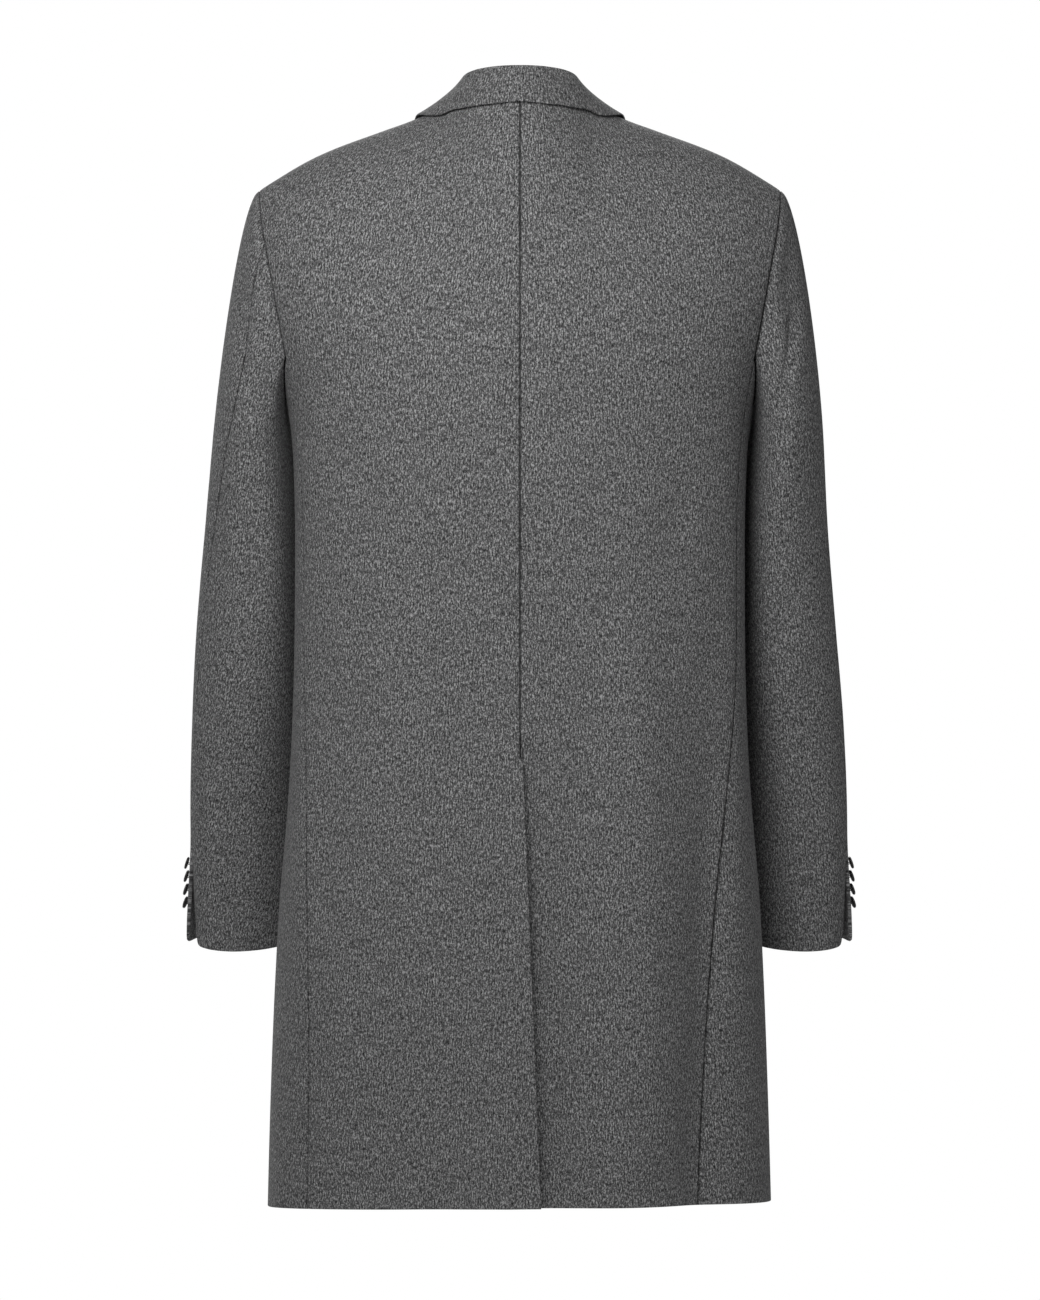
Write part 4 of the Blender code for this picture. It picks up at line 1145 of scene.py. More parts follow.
def cloth_mesh(panel, number):
    """A closed shell from the panel's two sides, with its cloth coordinates and the painted shade along its
    seams.
    """
    shown, hidden, cloth, shade, out = two_sides(panel)
    rows, columns = shown.shape[:2]
    index = np.arange(rows * columns).reshape(rows, columns)
    rim = np.ones((rows, columns), bool)
    rim[1:-1, 1:-1] = False
    under = np.where(rim, index, 0)
    under[~rim] = rows * columns + np.arange((~rim).sum())
    points = np.concatenate([shown.reshape(-1, 3), hidden[~rim]])
    coordinates = np.concatenate([cloth.reshape(-1, 2), cloth[~rim]]) + number * np.array(GRAIN_STEP)

    across = shown[:-1, 1:] - shown[:-1, :-1]
    along = shown[1:, :-1] - shown[:-1, :-1]
    facing = (np.cross(across, along) * out[:-1, :-1]).sum()
    top, bottom = quads(index), quads(under)
    faces = np.concatenate([top, bottom[:, ::-1]] if facing > 0 else [top[:, ::-1], bottom])
    mesh = bpy.data.meshes.new(panel.name)
    mesh.from_pydata(points.tolist(), [], faces.tolist())
    layer = mesh.uv_layers.new(name="cloth")
    layer.data.foreach_set("uv", coordinates[faces.ravel()].astype(np.float32).ravel())
    # The painted seam shade, kept on the points for the wool's colour to be darkened by
    painted_seam_shade = mesh.attributes.new("seam_shade", "FLOAT", "POINT")
    painted_seam_shade.data.foreach_set("value", np.concatenate([shade.ravel(), shade[~rim]]).astype(np.float32))
    mesh.shade_smooth()
    return mesh


def new_piece(name, mesh, recipe):
    mesh.materials.clear()
    mesh.materials.append(recipe)
    piece = bpy.data.objects.new(name, mesh)
    bpy.context.scene.collection.objects.link(piece)
    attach(piece, ROOT)
    return piece


def sew(panel):
    """Makes a panel's shell in place of its solid and works out the size and area of its flat cut."""
    number = CUT_ORDER.index(panel.name)
    piece = new_piece("cloth_" + panel.name, cloth_mesh(panel, number), wool())
    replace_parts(piece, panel.name)
    s, t = panel.grid()
    flat, area = flat_cut(panel.skin(s, t))
    return piece


# The cut pieces

# Sizes that their points are spaced by
CELL = 0.0048
LOWER_LENGTH = CHEST_Z - HEM_Z
UPPER_LENGTH = 0.32
BACK_WIDTH = 0.215
FRONT_WIDTH = 0.235
SIDE_WIDTH = 0.155
CAP_LENGTH = 0.19
TUBE_LENGTH = SLEEVE_TOP_Z - CUFF_Z
TOP_SLEEVE_WIDTH = 0.15
UNDER_SLEEVE_WIDTH = 0.19
LAPEL_WIDTH = 0.085
LAPEL_LENGTH = 0.31
LAPEL_CELL_ACROSS = 0.0035
LAPEL_CELL_ALONG = 0.0040
LAPEL_ROLL_STOPS = 9
COLLAR_LENGTH = 0.46
COLLAR_CELL_ALONG = 0.0032
STAND_WIDTH = 0.04
STAND_CELL = 0.004
FALL_WIDTH = 0.05
FALL_CELL = 0.0035
COLLAR_FOLD_STOPS = 13
FOLD_CLEAR = 0.01  # share of the collar's width kept free of other points beside the fold


def back_panel(side, sign):
    return Panel(
        "back_" + side,
        back_half(sign),
        stops([BACK_WIDTH], CELL),
        stops([LOWER_LENGTH, UPPER_LENGTH], CELL, last=2 - SHOULDER_GAP),
        (0, 1, 0),
        {"first": above_vent, "last": always, "high": always},
        {"first": below_vent, "low": always},
        body_creases(1, sign),
    )


def front_panel(side, sign):
    return Panel(
        "front_" + side,
        front_half(sign),
        stops([FRONT_WIDTH], CELL),
        stops([LOWER_LENGTH, UPPER_LENGTH], CELL, last=2 - SHOULDER_GAP),
        (0, -1, 0),
        {"last": always, "high": always},
        {"first": always, "low": always},
        body_creases(-1, sign),
    )


def flank_panel(side, sign):
    return Panel(
        "side_" + side,
        side_panel(sign),
        stops([SIDE_WIDTH], CELL),
        stops([LOWER_LENGTH, ARM_JOIN_Z - CHEST_Z], CELL),
        (sign, 0, 0),
        {"first": always, "last": always, "high": always},
        {"low": always},
        flank_creases(sign),
    )


def top_sleeve_panel(side, sign):
    def share_at(s, t):
        return fore_seam(t) - 1 + (elbow_seam(t, sign) - fore_seam(t) + 1) * s

    return Panel(
        "sleeve_top_" + side,
        top_sleeve(sign),
        stops([TOP_SLEEVE_WIDTH], CELL),
        stops([CAP_LENGTH, TUBE_LENGTH], CELL),
        (sign, 0, 0.2),
        {"first": always, "last": above_cuff_vent, "low": always},
        {"last": below_cuff_vent, "high": always},
        sleeve_creases(sign, share_at),
    )


def under_sleeve_panel(side, sign):
    def share_at(s, t):
        return elbow_seam(t, sign) + (fore_seam(t) - elbow_seam(t, sign)) * s

    return Panel(
        "sleeve_under_" + side,
        under_sleeve(sign),
        stops([UNDER_SLEEVE_WIDTH], CELL),
        stops([CAP_LENGTH, TUBE_LENGTH], CELL),
        (-sign, 0, 0),
        {"first": above_cuff_vent, "last": always, "low": always},
        {"first": below_cuff_vent, "high": always},
        sleeve_creases(sign, share_at),
    )


def lapel_panel(side, sign):
    roll = np.linspace(0, ROLL_SHARE, LAPEL_ROLL_STOPS)
    return Panel(
        "lapel_" + side,
        rolled_lapel(sign),
        np.unique(np.concatenate([roll, stops([LAPEL_WIDTH], LAPEL_CELL_ACROSS)])),
        stops([LAPEL_LENGTH], LAPEL_CELL_ALONG),
        (0, -1, 0),
        {},
        {},
    )


def collar_panel():
    def point(s, t):
        return collar_profile(t * COLLAR_END, s)

    return Panel(
        "collar",
        point,
        collar_stops(),
        -1 + 2 * stops([COLLAR_LENGTH], COLLAR_CELL_ALONG),
        (0, 0, 1),
        {"first": always},
        {},
        thickness=COLLAR_CLOTH,
        grain_across=True,
    )


def collar_stops():
    """Shares from the neck seam to the outer edge, close together at the edges and round the fold."""
    stand = metre_stops(STAND_WIDTH, STAND_CELL) / STAND_WIDTH * STAND_END
    bend = np.linspace(STAND_END, FOLD_END, COLLAR_FOLD_STOPS)
    fall = FOLD_END + metre_stops(FALL_WIDTH, FALL_CELL) / FALL_WIDTH * (1 - FOLD_END)
    stand = stand[stand < STAND_END - FOLD_CLEAR]
    fall = fall[fall > FOLD_END + FOLD_CLEAR]
    return np.unique(np.round(np.concatenate([stand, bend, fall]), 6))


# Finishes

def add(tree, kind, inputs=None, **settings):
    """A node with its settings, whose inputs are values or other nodes' sockets."""
    made = tree.nodes.new(kind)
    for name, value in settings.items():
        setattr(made, name, value)
    for name, value in (inputs or {}).items():
        if isinstance(value, bpy.types.NodeSocket):
            tree.links.new(value, made.inputs[name])
        else:
            made.inputs[name].default_value = value
    return made


def finish_of(name):
    """A new finish: the material, its tree and its shader."""
    made = bpy.data.materials.new(name)
    made.use_nodes = True
    return made, made.node_tree, made.node_tree.nodes["Principled BSDF"]


def stretched_noise(tree, coordinates, width, length, lean=0, detail=1.0, roughness=0.55):
    """Noise whose grains are about that wide and long on the cloth, leaning by some degrees."""
    placed = add(
        tree,
        "ShaderNodeMapping",
        {"Vector": coordinates, "Rotation": (0, 0, math.radians(lean)), "Scale": (width, length, 1)},
        vector_type="TEXTURE",
    )
    grains = add(
        tree,
        "ShaderNodeTexNoise",
        {"Vector": placed.outputs["Vector"], "Scale": 1.0, "Detail": detail, "Roughness": roughness},
        noise_dimensions="2D",
    )
    return grains.outputs["Fac"]


def weighed(tree, *pairs):
    """Sum of values times weights."""
    total = None
    for value, weight in pairs:
        inputs = {0: value, 1: weight, 2: 0.0 if total is None else total}
        total = add(tree, "ShaderNodeMath", inputs, operation="MULTIPLY_ADD").outputs["Value"]
    return total


def wool():
    """Brushed melange flannel: dark and pale fibres in short upright flecks, crossed by a faint weave, with
    painted shade along the seams.
    """
    known = bpy.data.materials.get("wool_flannel_melange")
    if known is not None:
        return known
    finish = bpy.context.scene.coat_finish
    made, tree, shader = finish_of("wool_flannel_melange")
    cloth = add(tree, "ShaderNodeUVMap", uv_map="cloth").outputs["UV"]
    fleck = finish.fleck
    streaks = stretched_noise(tree, cloth, 1.30 * fleck, 3.4 * fleck, 8)
    slubs = stretched_noise(tree, cloth, 1.15 * fleck, 2.1 * fleck, -13)
    fibres = stretched_noise(tree, cloth, 1.0 * fleck, 1.1 * fleck, 37)
    weft = stretched_noise(tree, cloth, 2.4 * fleck, 1.1 * fleck, 4)
    warp = stretched_noise(tree, cloth, 1.25 * fleck, 11 * fleck, 2)
    clouds = stretched_noise(tree, cloth, 24 * fleck, 44 * fleck, detail=3.0)
    tone = weighed(tree, (streaks, 0.31), (slubs, 0.26), (fibres, 0.20), (weft, 0.07), (warp, 0.16))
    ramp = add(tree, "ShaderNodeValToRGB", {"Fac": tone})
    ramp.color_ramp.elements[0].position = 0.37
    ramp.color_ramp.elements[0].color = (*finish.dark_fibre, 1)
    ramp.color_ramp.elements[1].position = 0.63
    ramp.color_ramp.elements[1].color = (*finish.pale_fibre, 1)
    middle = ramp.color_ramp.elements.new(0.50)
    middle.color = (*finish.middle_fibre, 1)
    # Random cloudy tone, and painted shade that darkens the colour along the seams' grooves
    painted_seam_shade = add(tree, "ShaderNodeAttribute", attribute_name="seam_shade").outputs["Fac"]
    shade = weighed(tree, (clouds, 0.22), (0.89, 1.0), (painted_seam_shade, -0.9))
    colour = add(
        tree, "ShaderNodeVectorMath", {"Vector": ramp.outputs["Color"], "Scale": shade}, operation="SCALE"
    )
    tree.links.new(colour.outputs["Vector"], shader.inputs["Base Color"])
    nap = weighed(tree, (streaks, 0.30), (slubs, 0.25), (fibres, 0.30), (weft, 0.15))
    relief = add(tree, "ShaderNodeBump", {"Height": nap, "Strength": 0.45, "Distance": 0.0007})
    tree.links.new(relief.outputs["Normal"], shader.inputs["Normal"])
    shader.inputs["Roughness"].default_value = 0.93
    shader.inputs["Specular IOR Level"].default_value = 0.18
    shader.inputs["Sheen Weight"].default_value = 0.06
    shader.inputs["Sheen Roughness"].default_value = 0.55
    return made


def horn():
    """Near-black horn with a faint cloudy grain and a worn polish."""
    known = bpy.data.materials.get("polished_horn")
    if known is not None:
        return known
    made, tree, shader = finish_of("polished_horn")
    place = add(tree, "ShaderNodeTexCoord").outputs["Object"]
    grain = add(
        tree, "ShaderNodeTexNoise", {"Vector": place, "Scale": 420.0, "Detail": 4.0, "Distortion": 1.2}
    )
    ramp = add(tree, "ShaderNodeValToRGB", {"Fac": grain.outputs["Fac"]})
    ramp.color_ramp.elements[0].color = (*bpy.context.scene.coat_finish.horn, 1)
    ramp.color_ramp.elements[1].color = (0.040, 0.036, 0.034, 1)
    tree.links.new(ramp.outputs["Color"], shader.inputs["Base Color"])
    polish = weighed(tree, (grain.outputs["Fac"], 0.25), (0.22, 1.0))
    tree.links.new(polish, shader.inputs["Roughness"])
    return made


def thread():
    """Dull sewing thread, a little darker than the cloth, with the twist of its plies."""
    known = bpy.data.materials.get("sewing_thread")
    if known is not None:
        return known
    made, tree, shader = finish_of("sewing_thread")
    place = add(tree, "ShaderNodeTexCoord").outputs["Object"]
    plies = add(tree, "ShaderNodeTexNoise", {"Vector": place, "Scale": 2600.0, "Detail": 1.0})
    ramp = add(tree, "ShaderNodeValToRGB", {"Fac": plies.outputs["Fac"]})
    base = np.array(bpy.context.scene.coat_finish.thread)
    ramp.color_ramp.elements[0].color = (*(0.6 * base), 1)
    ramp.color_ramp.elements[1].color = (*(1.4 * base), 1)
    tree.links.new(ramp.outputs["Color"], shader.inputs["Base Color"])
    ply_relief = {"Height": plies.outputs["Fac"], "Strength": 0.4, "Distance": 0.0002}
    relief = add(tree, "ShaderNodeBump", ply_relief)
    tree.links.new(relief.outputs["Normal"], shader.inputs["Normal"])
    shader.inputs["Roughness"].default_value = 0.7
    shader.inputs["Sheen Weight"].default_value = 0.1
    return made


FLOOR_GLOW = 0.45  # how much brighter the floor looks than it is as a light, like the room


def pale_floor():
    """Matt pale floor with faint clouds."""
    made, tree, shader = finish_of("pale_floor")
    place = add(tree, "ShaderNodeTexCoord").outputs["Object"]
    grain = add(tree, "ShaderNodeTexNoise", {"Vector": place, "Scale": 3.0, "Detail": 3.0})
    ramp = add(tree, "ShaderNodeValToRGB", {"Fac": grain.outputs["Fac"]})
    ramp.color_ramp.elements[0].color = (0.86, 0.86, 0.86, 1)
    ramp.color_ramp.elements[1].color = (0.90, 0.90, 0.90, 1)
    tree.links.new(ramp.outputs["Color"], shader.inputs["Base Color"])
    shader.inputs["Roughness"].default_value = 0.9
    seen = add(tree, "ShaderNodeLightPath").outputs["Is Camera Ray"]
    shader.inputs["Emission Color"].default_value = (1, 1, 1, 1)
    tree.links.new(weighed(tree, (seen, FLOOR_GLOW)), shader.inputs["Emission Strength"])
    return made


# Buttons

# Half a section of a turned button: radius and height, as shares of the button's radius and depth
BUTTON_SECTION = (
    (0.00, 0.00),
    (0.70, 0.00),
    (0.86, 0.04),
    (0.95, 0.20),
    (1.00, 0.45),
    (0.99, 0.66),
    (0.95, 0.86),
    (0.88, 0.97),
    (0.80, 1.00),
    (0.72, 0.96),
    (0.66, 0.84),
    (0.60, 0.74),
    (0.50, 0.69),
    (0.25, 0.67),
    (0.00, 0.66),
)
BUTTON_TURNS = 48
HOLE_RADIUS = 0.085  # shares of the button's radius
HOLE_REACH = 0.19
HOLE_SIDES = 16
THREAD_RADIUS = 0.042
THREAD_SIDES = 8
THREAD_STEPS = 9
STRANDS = (-0.55, 0.55)  # places of the strands of one stitch, in thread diameters
STRAND_ARCH = 3.2  # how high a strand rises out of its holes, in thread radii
SHANK_SPREAD = 0.6  # how far apart the shank's strands stand, as a share of the holes
SHANK_THICKNESS = 1.6  # in thread radii
SHARP_TURN = math.radians(38)  # edges of a button that turn more than this stay sharp


def spun(section, turns):
    """A closed mesh from half a section, turned about Z."""
    shape = bmesh.new()
    line = [shape.verts.new((r, 0, h)) for r, h in section]
    edges = [shape.edges.new(pair) for pair in zip(line, line[1:])]
    bmesh.ops.spin(
        shape,
        geom=line + edges,
        cent=(0, 0, 0),
        axis=(0, 0, 1),
        angle=2 * math.pi,
        steps=turns,
        use_merge=True,
    )
    bmesh.ops.remove_doubles(shape, verts=shape.verts, dist=1e-6)
    bmesh.ops.recalc_face_normals(shape, faces=shape.faces)
    return shape


def mesh_of(shape, name):
    """A mesh from a finished bmesh, which is freed."""
    mesh = bpy.data.meshes.new(name)
    shape.to_mesh(mesh)
    shape.free()
    return mesh


def hole_places(radius):
    reach = HOLE_REACH * radius
    return [(x * reach, y * reach) for x in (-1, 1) for y in (-1, 1)]


def drilled_button(radius, depth):
    """The turned button with its four holes cut through."""
    shape = spun([(r * radius, h * depth) for r, h in BUTTON_SECTION], BUTTON_TURNS)
    blank = bpy.data.objects.new("button_blank", mesh_of(shape, "button_blank"))
    drills = bmesh.new()
    for x, y in hole_places(radius):
        bmesh.ops.create_cone(
            drills,
            cap_ends=True,
            segments=HOLE_SIDES,
            radius1=HOLE_RADIUS * radius,
            radius2=HOLE_RADIUS * radius,
            depth=4 * depth,
            matrix=Matrix.Translation((x, y, 0)),
        )
    cutter = bpy.data.objects.new("button_drills", mesh_of(drills, "button_drills"))
    for made in (cutter, blank):
        bpy.context.scene.collection.objects.link(made)
    cut = blank.modifiers.new("holes", "BOOLEAN")
    cut.operation = "DIFFERENCE"
    cut.solver = "EXACT"
    cut.object = cutter
    drilled = plain_mesh(blank, "button")
    for made in (cutter, blank):
        bpy.data.objects.remove(made)
    drilled.shade_smooth()
    drilled.set_sharp_from_angle(angle=SHARP_TURN)
    return drilled


def plain_mesh(made, name):
    """The mesh that an object's modifiers give."""
    graph = bpy.context.evaluated_depsgraph_get()
    mesh = bpy.data.meshes.new_from_object(made.evaluated_get(graph), depsgraph=graph)
    mesh.name = name
    return mesh


def button_thread(radius, depth, stand):
    """Two stitches across the holes and the thread shank under the button, as one mesh."""
    shape = bmesh.new()
    thick = THREAD_RADIUS * radius
    reach = HOLE_REACH * radius
    top = BUTTON_SECTION[-1][1] * depth
    for row in (-1, 1):
        for strand in STRANDS:
            y = row * reach + strand * 2 * thick
            path = []
            for k in range(THREAD_STEPS):
                angle = math.pi * k / (THREAD_STEPS - 1)
                rise = top - 2 * thick + STRAND_ARCH * thick * math.sin(angle) ** 0.5
                path.append(Vector((-math.cos(angle) * reach, y, rise)))
            tube(shape, path, thick)
    for x, y in hole_places(SHANK_SPREAD * radius):
        tube(shape, [Vector((x, y, -stand)), Vector((x, y, 0.5 * top))], SHANK_THICKNESS * thick)
    bmesh.ops.recalc_face_normals(shape, faces=shape.faces)
    mesh = mesh_of(shape, "button_thread")
    mesh.shade_smooth()
    return mesh


def tube(shape, path, radius):
    """A closed round tube along a path."""
    rings = []
    for k, place in enumerate(path):
        ahead = path[min(k + 1, len(path) - 1)] - path[max(k - 1, 0)]
        turn = ahead.to_track_quat("Z", "Y")
        ring = []
        for n in range(THREAD_SIDES):
            angle = 2 * math.pi * n / THREAD_SIDES
            spoke = turn @ Vector((math.cos(angle), math.sin(angle), 0))
            ring.append(shape.verts.new(place + radius * spoke))
        rings.append(ring)
    for low, high in zip(rings, rings[1:]):
        for n in range(THREAD_SIDES):
            m = (n + 1) % THREAD_SIDES
            shape.faces.new((low[n], low[m], high[m], high[n]))
    shape.faces.new(rings[0][::-1])
    shape.faces.new(rings[-1])


def cuff_button_places(side, sign):
    """Where each cuff button sits: its name and its turn and place."""
    surface = top_sleeve(sign)
    for number in range(CUFF_BUTTONS):
        z = CUFF_BUTTON_TOP_Z - number * CUFF_BUTTON_PITCH
        down = 1 + (z - SLEEVE_TOP_Z) / (CUFF_Z - SLEEVE_TOP_Z)
        girth = elbow_seam(down, sign) - fore_seam(down) + 1
        s = np.array(1 - CUFF_BUTTON_INSET / girth)
        t = np.array(down)
        normal = Vector(outward(surface, s, t, np.array((sign, 0.0, 0.0))))
        hinge = normal.cross(Vector((0, 0, 1))).normalized()
        facing = Matrix.Rotation(CUFF_BUTTON_TILT, 3, hinge) @ normal
        stand = CUFF_BUTTON_RADIUS * math.sin(CUFF_BUTTON_TILT) + BUTTON_REST
        yield f"cuff_button_{side}_{number + 1}", facing, Vector(surface(s, t)) + normal * stand, stand


def front_button_places():
    for number in range(FRONT_BUTTONS):
        z = FRONT_BUTTON_TOP_Z - number * FRONT_BUTTON_PITCH
        stand = 2 * BUTTON_REST
        centre = lying_on_front(np.array(0.0), np.array(z), 1, stand)
        yield f"front_button_{number + 1}", Vector((0, -1, 0)), Vector(centre), stand


def sew_buttons(places, radius, depth):
    drilled = drilled_button(radius, depth)
    for name, facing, centre, stand in places:
        place = Matrix.Translation(centre) @ facing.to_track_quat("Z", "Y").to_matrix().to_4x4()
        turned = drilled.copy()
        turned.transform(place)
        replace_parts(new_piece("turned_" + name, turned, horn()), name)
        sewn = button_thread(radius, depth, stand)
        sewn.transform(place)
        new_piece("thread_" + name, sewn, thread())


# Sewing that follows a line: Geometry Nodes set one stitch at each step along it

def stitch_tree():
    """Stitches along a line: each lies along the line's "lie" and stands on its "outward"."""
    known = bpy.data.node_groups.get("stitches_along_line")
    if known is not None:
        return known
    tree = bpy.data.node_groups.new("stitches_along_line", "GeometryNodeTree")
    tree.is_modifier = True
    face = tree.interface
    face.new_socket("Line", in_out="INPUT", socket_type="NodeSocketGeometry")
    for name, default in (("Pitch", 0.004), ("Stitch Length", 0.002), ("Thread Width", 0.0005)):
        socket = face.new_socket(name, in_out="INPUT", socket_type="NodeSocketFloat")
        socket.default_value = default
        socket.min_value = 0.0001
        socket.subtype = "DISTANCE"
    face.new_socket("Finish", in_out="INPUT", socket_type="NodeSocketMaterial")
    face.new_socket("Stitches", in_out="OUTPUT", socket_type="NodeSocketGeometry")
    given = add(tree, "NodeGroupInput").outputs
    line = add(tree, "GeometryNodeMeshToCurve", {"Mesh": given["Line"]}).outputs["Curve"]
    steps = add(
        tree, "GeometryNodeResampleCurve", {"Curve": line, "Length": given["Pitch"]}, mode="LENGTH"
    ).outputs["Curve"]
    half_length = add(tree, "ShaderNodeMath", {0: given["Stitch Length"], 1: 0.5}, operation="MULTIPLY")
    half_width = add(tree, "ShaderNodeMath", {0: given["Thread Width"], 1: 0.5}, operation="MULTIPLY")
    size = add(
        tree,
        "ShaderNodeCombineXYZ",
        {"X": half_length.outputs[0], "Y": half_width.outputs[0], "Z": half_width.outputs[0]},
    )
    bead = add(tree, "GeometryNodeMeshUVSphere", {"Segments": 8, "Rings": 6, "Radius": 1.0}).outputs["Mesh"]
    on_side = add(
        tree, "GeometryNodeTransform", {"Geometry": bead, "Rotation": (0.0, math.pi / 2, 0.0)}
    ).outputs["Geometry"]
    stitch = add(tree, "GeometryNodeTransform", {"Geometry": on_side, "Scale": size.outputs["Vector"]})
    smooth_stitch = add(tree, "GeometryNodeSetShadeSmooth", {"Geometry": stitch.outputs["Geometry"]})
    ways = {}
    for name in ("lie", "outward"):
        ways[name] = add(
            tree, "GeometryNodeInputNamedAttribute", {"Name": name}, data_type="FLOAT_VECTOR"
        ).outputs["Attribute"]
    along = add(tree, "FunctionNodeAlignRotationToVector", {"Vector": ways["lie"]}, axis="X")
    upright = add(
        tree,
        "FunctionNodeAlignRotationToVector",
        {"Rotation": along.outputs["Rotation"], "Vector": ways["outward"]},
        axis="Z",
        pivot_axis="X",
    )
    placed = add(
        tree,
        "GeometryNodeInstanceOnPoints",
        {
            "Points": steps,
            "Instance": smooth_stitch.outputs["Geometry"],
            "Rotation": upright.outputs["Rotation"],
        },
    )
    real = add(tree, "GeometryNodeRealizeInstances", {"Geometry": placed.outputs["Instances"]})
    dyed = add(
        tree,
        "GeometryNodeSetMaterial",
        {"Geometry": real.outputs["Geometry"], "Material": given["Finish"]},
    )
    add(tree, "NodeGroupOutput", {"Stitches": dyed.outputs["Geometry"]})
    return tree


def stitch_lines(name, lines, pitch, length, width):
    """One piece of stitches along lines, each given as its points, its ways to lie and its ways out."""
    places, lies, outs, edges = [], [], [], []
    for points, lie, out in lines:
        start = len(places)
        places.extend(points.tolist())
        lies.append(lie)
        outs.append(out)
        edges.extend((start + k, start + k + 1) for k in range(len(points) - 1))
    mesh = bpy.data.meshes.new(name + "_lines")
    mesh.from_pydata(places, edges, [])
    for way, values in (("lie", lies), ("outward", outs)):
        layer = mesh.attributes.new(way, "FLOAT_VECTOR", "POINT")
        layer.data.foreach_set("vector", np.concatenate(values).astype(np.float32).ravel())
    made = bpy.data.objects.new(name + "_lines", mesh)
    bpy.context.scene.collection.objects.link(made)
    tree = stitch_tree()
    modifier = made.modifiers.new("stitches", "NODES")
    modifier.node_group = tree
    values = {"Pitch": pitch, "Stitch Length": length, "Thread Width": width, "Finish": thread()}
    for socket in tree.interface.items_tree:
        if socket.in_out == "INPUT" and socket.name in values:
            modifier[socket.identifier] = values[socket.name]
    sewn = plain_mesh(made, name)
    bpy.data.objects.remove(made)
    return new_piece(name, sewn, thread())


def edge_line(panel, s, t, sink):
    """Points on a panel along a line of its shares, a little sunk, with running stitches' two ways."""
    s, t = np.broadcast_arrays(np.asarray(s, float), np.asarray(t, float))
    out = panel.out(s, t)
    points = panel.skin(s, t) - sink * out
    return points, unit(np.gradient(points, axis=0)), out


def inset_share(panel, t, inset, from_last):
    """The share that lies a distance in from the panel's first or last edge, at each level."""
    step = 0.01
    ends = np.array((1 - step, 1.0) if from_last else (0.0, step))
    grid = panel.skin(*np.meshgrid(ends, t))
    width = np.linalg.norm(grid[:, 1] - grid[:, 0], axis=-1) / step
    return 1 - inset / width if from_last else inset / width


def pick_stitch_lines():
    """Picked edges: the vent, the lapels, the collar's edge and the front edge under the break."""
    sewing = bpy.context.scene.coat_sewing
    inset, sink = sewing.pick_inset, sewing.pick_sink
    vent_top = (VENT_TOP_Z - HEM_Z) / (CHEST_Z - HEM_Z)
    break_level = (BREAK_Z - HEM_Z) / (CHEST_Z - HEM_Z)
    # Each run: its panel, its levels, and whether it follows the last edge
    runs = [
        (back_panel("left", 1), np.linspace(0.008, vent_top - 0.012, 160), False),
        (front_panel("left", 1), np.linspace(0.008, break_level - 0.01, 220), False),
        (lapel_panel("left", 1), np.linspace(0.02, 0.99, 120), True),
        (lapel_panel("right", -1), np.linspace(0.02, 0.99, 120), True),
        (collar_panel(), np.linspace(-0.985, 0.985, 200), True),
    ]
    return [edge_line(panel, inset_share(panel, t, inset, last), t, sink) for panel, t, last in runs]


# Buttonholes on the left front: a row of upright stitches round each slit

BUTTONHOLE_LENGTH = 0.029
BUTTONHOLE_END = 0.002  # how far past the button's middle, towards the front edge, it ends
BUTTONHOLE_HALF = 0.0012
BUTTONHOLE_EYE = 0.0022  # radius of its round end
BUTTONHOLE_TAPER = 0.2  # share of its length over which it narrows from there
BUTTONHOLE_LIFT = 0.0002  # middle of its stitches above the cloth
BUTTONHOLE_FULLNESS = 1.15  # width of its stitches for each pitch, so that they close up


def buttonhole_lines():
    """Both sides and both ends of each buttonhole, whose stitches lie square to the slit."""
    turn = np.linspace(-math.pi / 2, math.pi / 2, 9)
    run = np.linspace(0, 1, 24)[1:-1] * BUTTONHOLE_LENGTH
    narrowed = smooth(0, BUTTONHOLE_TAPER * BUTTONHOLE_LENGTH, run)
    edge = BUTTONHOLE_EYE + (BUTTONHOLE_HALF - BUTTONHOLE_EYE) * narrowed
    along = np.concatenate(
        [
            -BUTTONHOLE_EYE * np.cos(turn),
            run,
            BUTTONHOLE_LENGTH + BUTTONHOLE_HALF * np.cos(turn),
            run[::-1],
            [0.0],
        ]
    )
    across = np.concatenate(
        [BUTTONHOLE_EYE * np.sin(turn), edge, -BUTTONHOLE_HALF * np.sin(turn), -edge[::-1], [-BUTTONHOLE_EYE]]
    )
    lines = []
    for number in range(FRONT_BUTTONS):
        z = FRONT_BUTTON_TOP_Z - number * FRONT_BUTTON_PITCH
        points = lying_on_front(along - BUTTONHOLE_END, z + across, 1, BUTTONHOLE_LIFT)
        ahead = unit(np.gradient(points, axis=0))
        out = np.tile((0.0, -1.0, 0.0), (len(points), 1))
        lines.append((points, unit(np.cross(ahead, out)), out))
    return lines


# The studio

FLOOR_Z = -1.48
FLOOR_RADIUS = 3.6
FLOOR_SIDES = 96

# The photograph's scale and rows, which place the camera
PIXEL = 0.000885  # metres at the coat's middle for each pixel
PHOTO_ROWS = 1300
NECK_ROW = 118  # the neck's middle

# Columns: name, share of the key light's power, size, x, y, z
LIGHTS = (
    ("key_light", 1.00, 0.9, 0.36, 1.30, 0.42),
    ("back_fill", 0.24, 1.4, -1.15, 2.00, -0.20),
    ("front_key", 1.00, 0.7, 0.00, -1.40, 0.60),
    ("front_fill", 0.50, 1.6, 1.60, -1.80, -0.40),
)
AIM = (0.0, 0.0, -0.30)


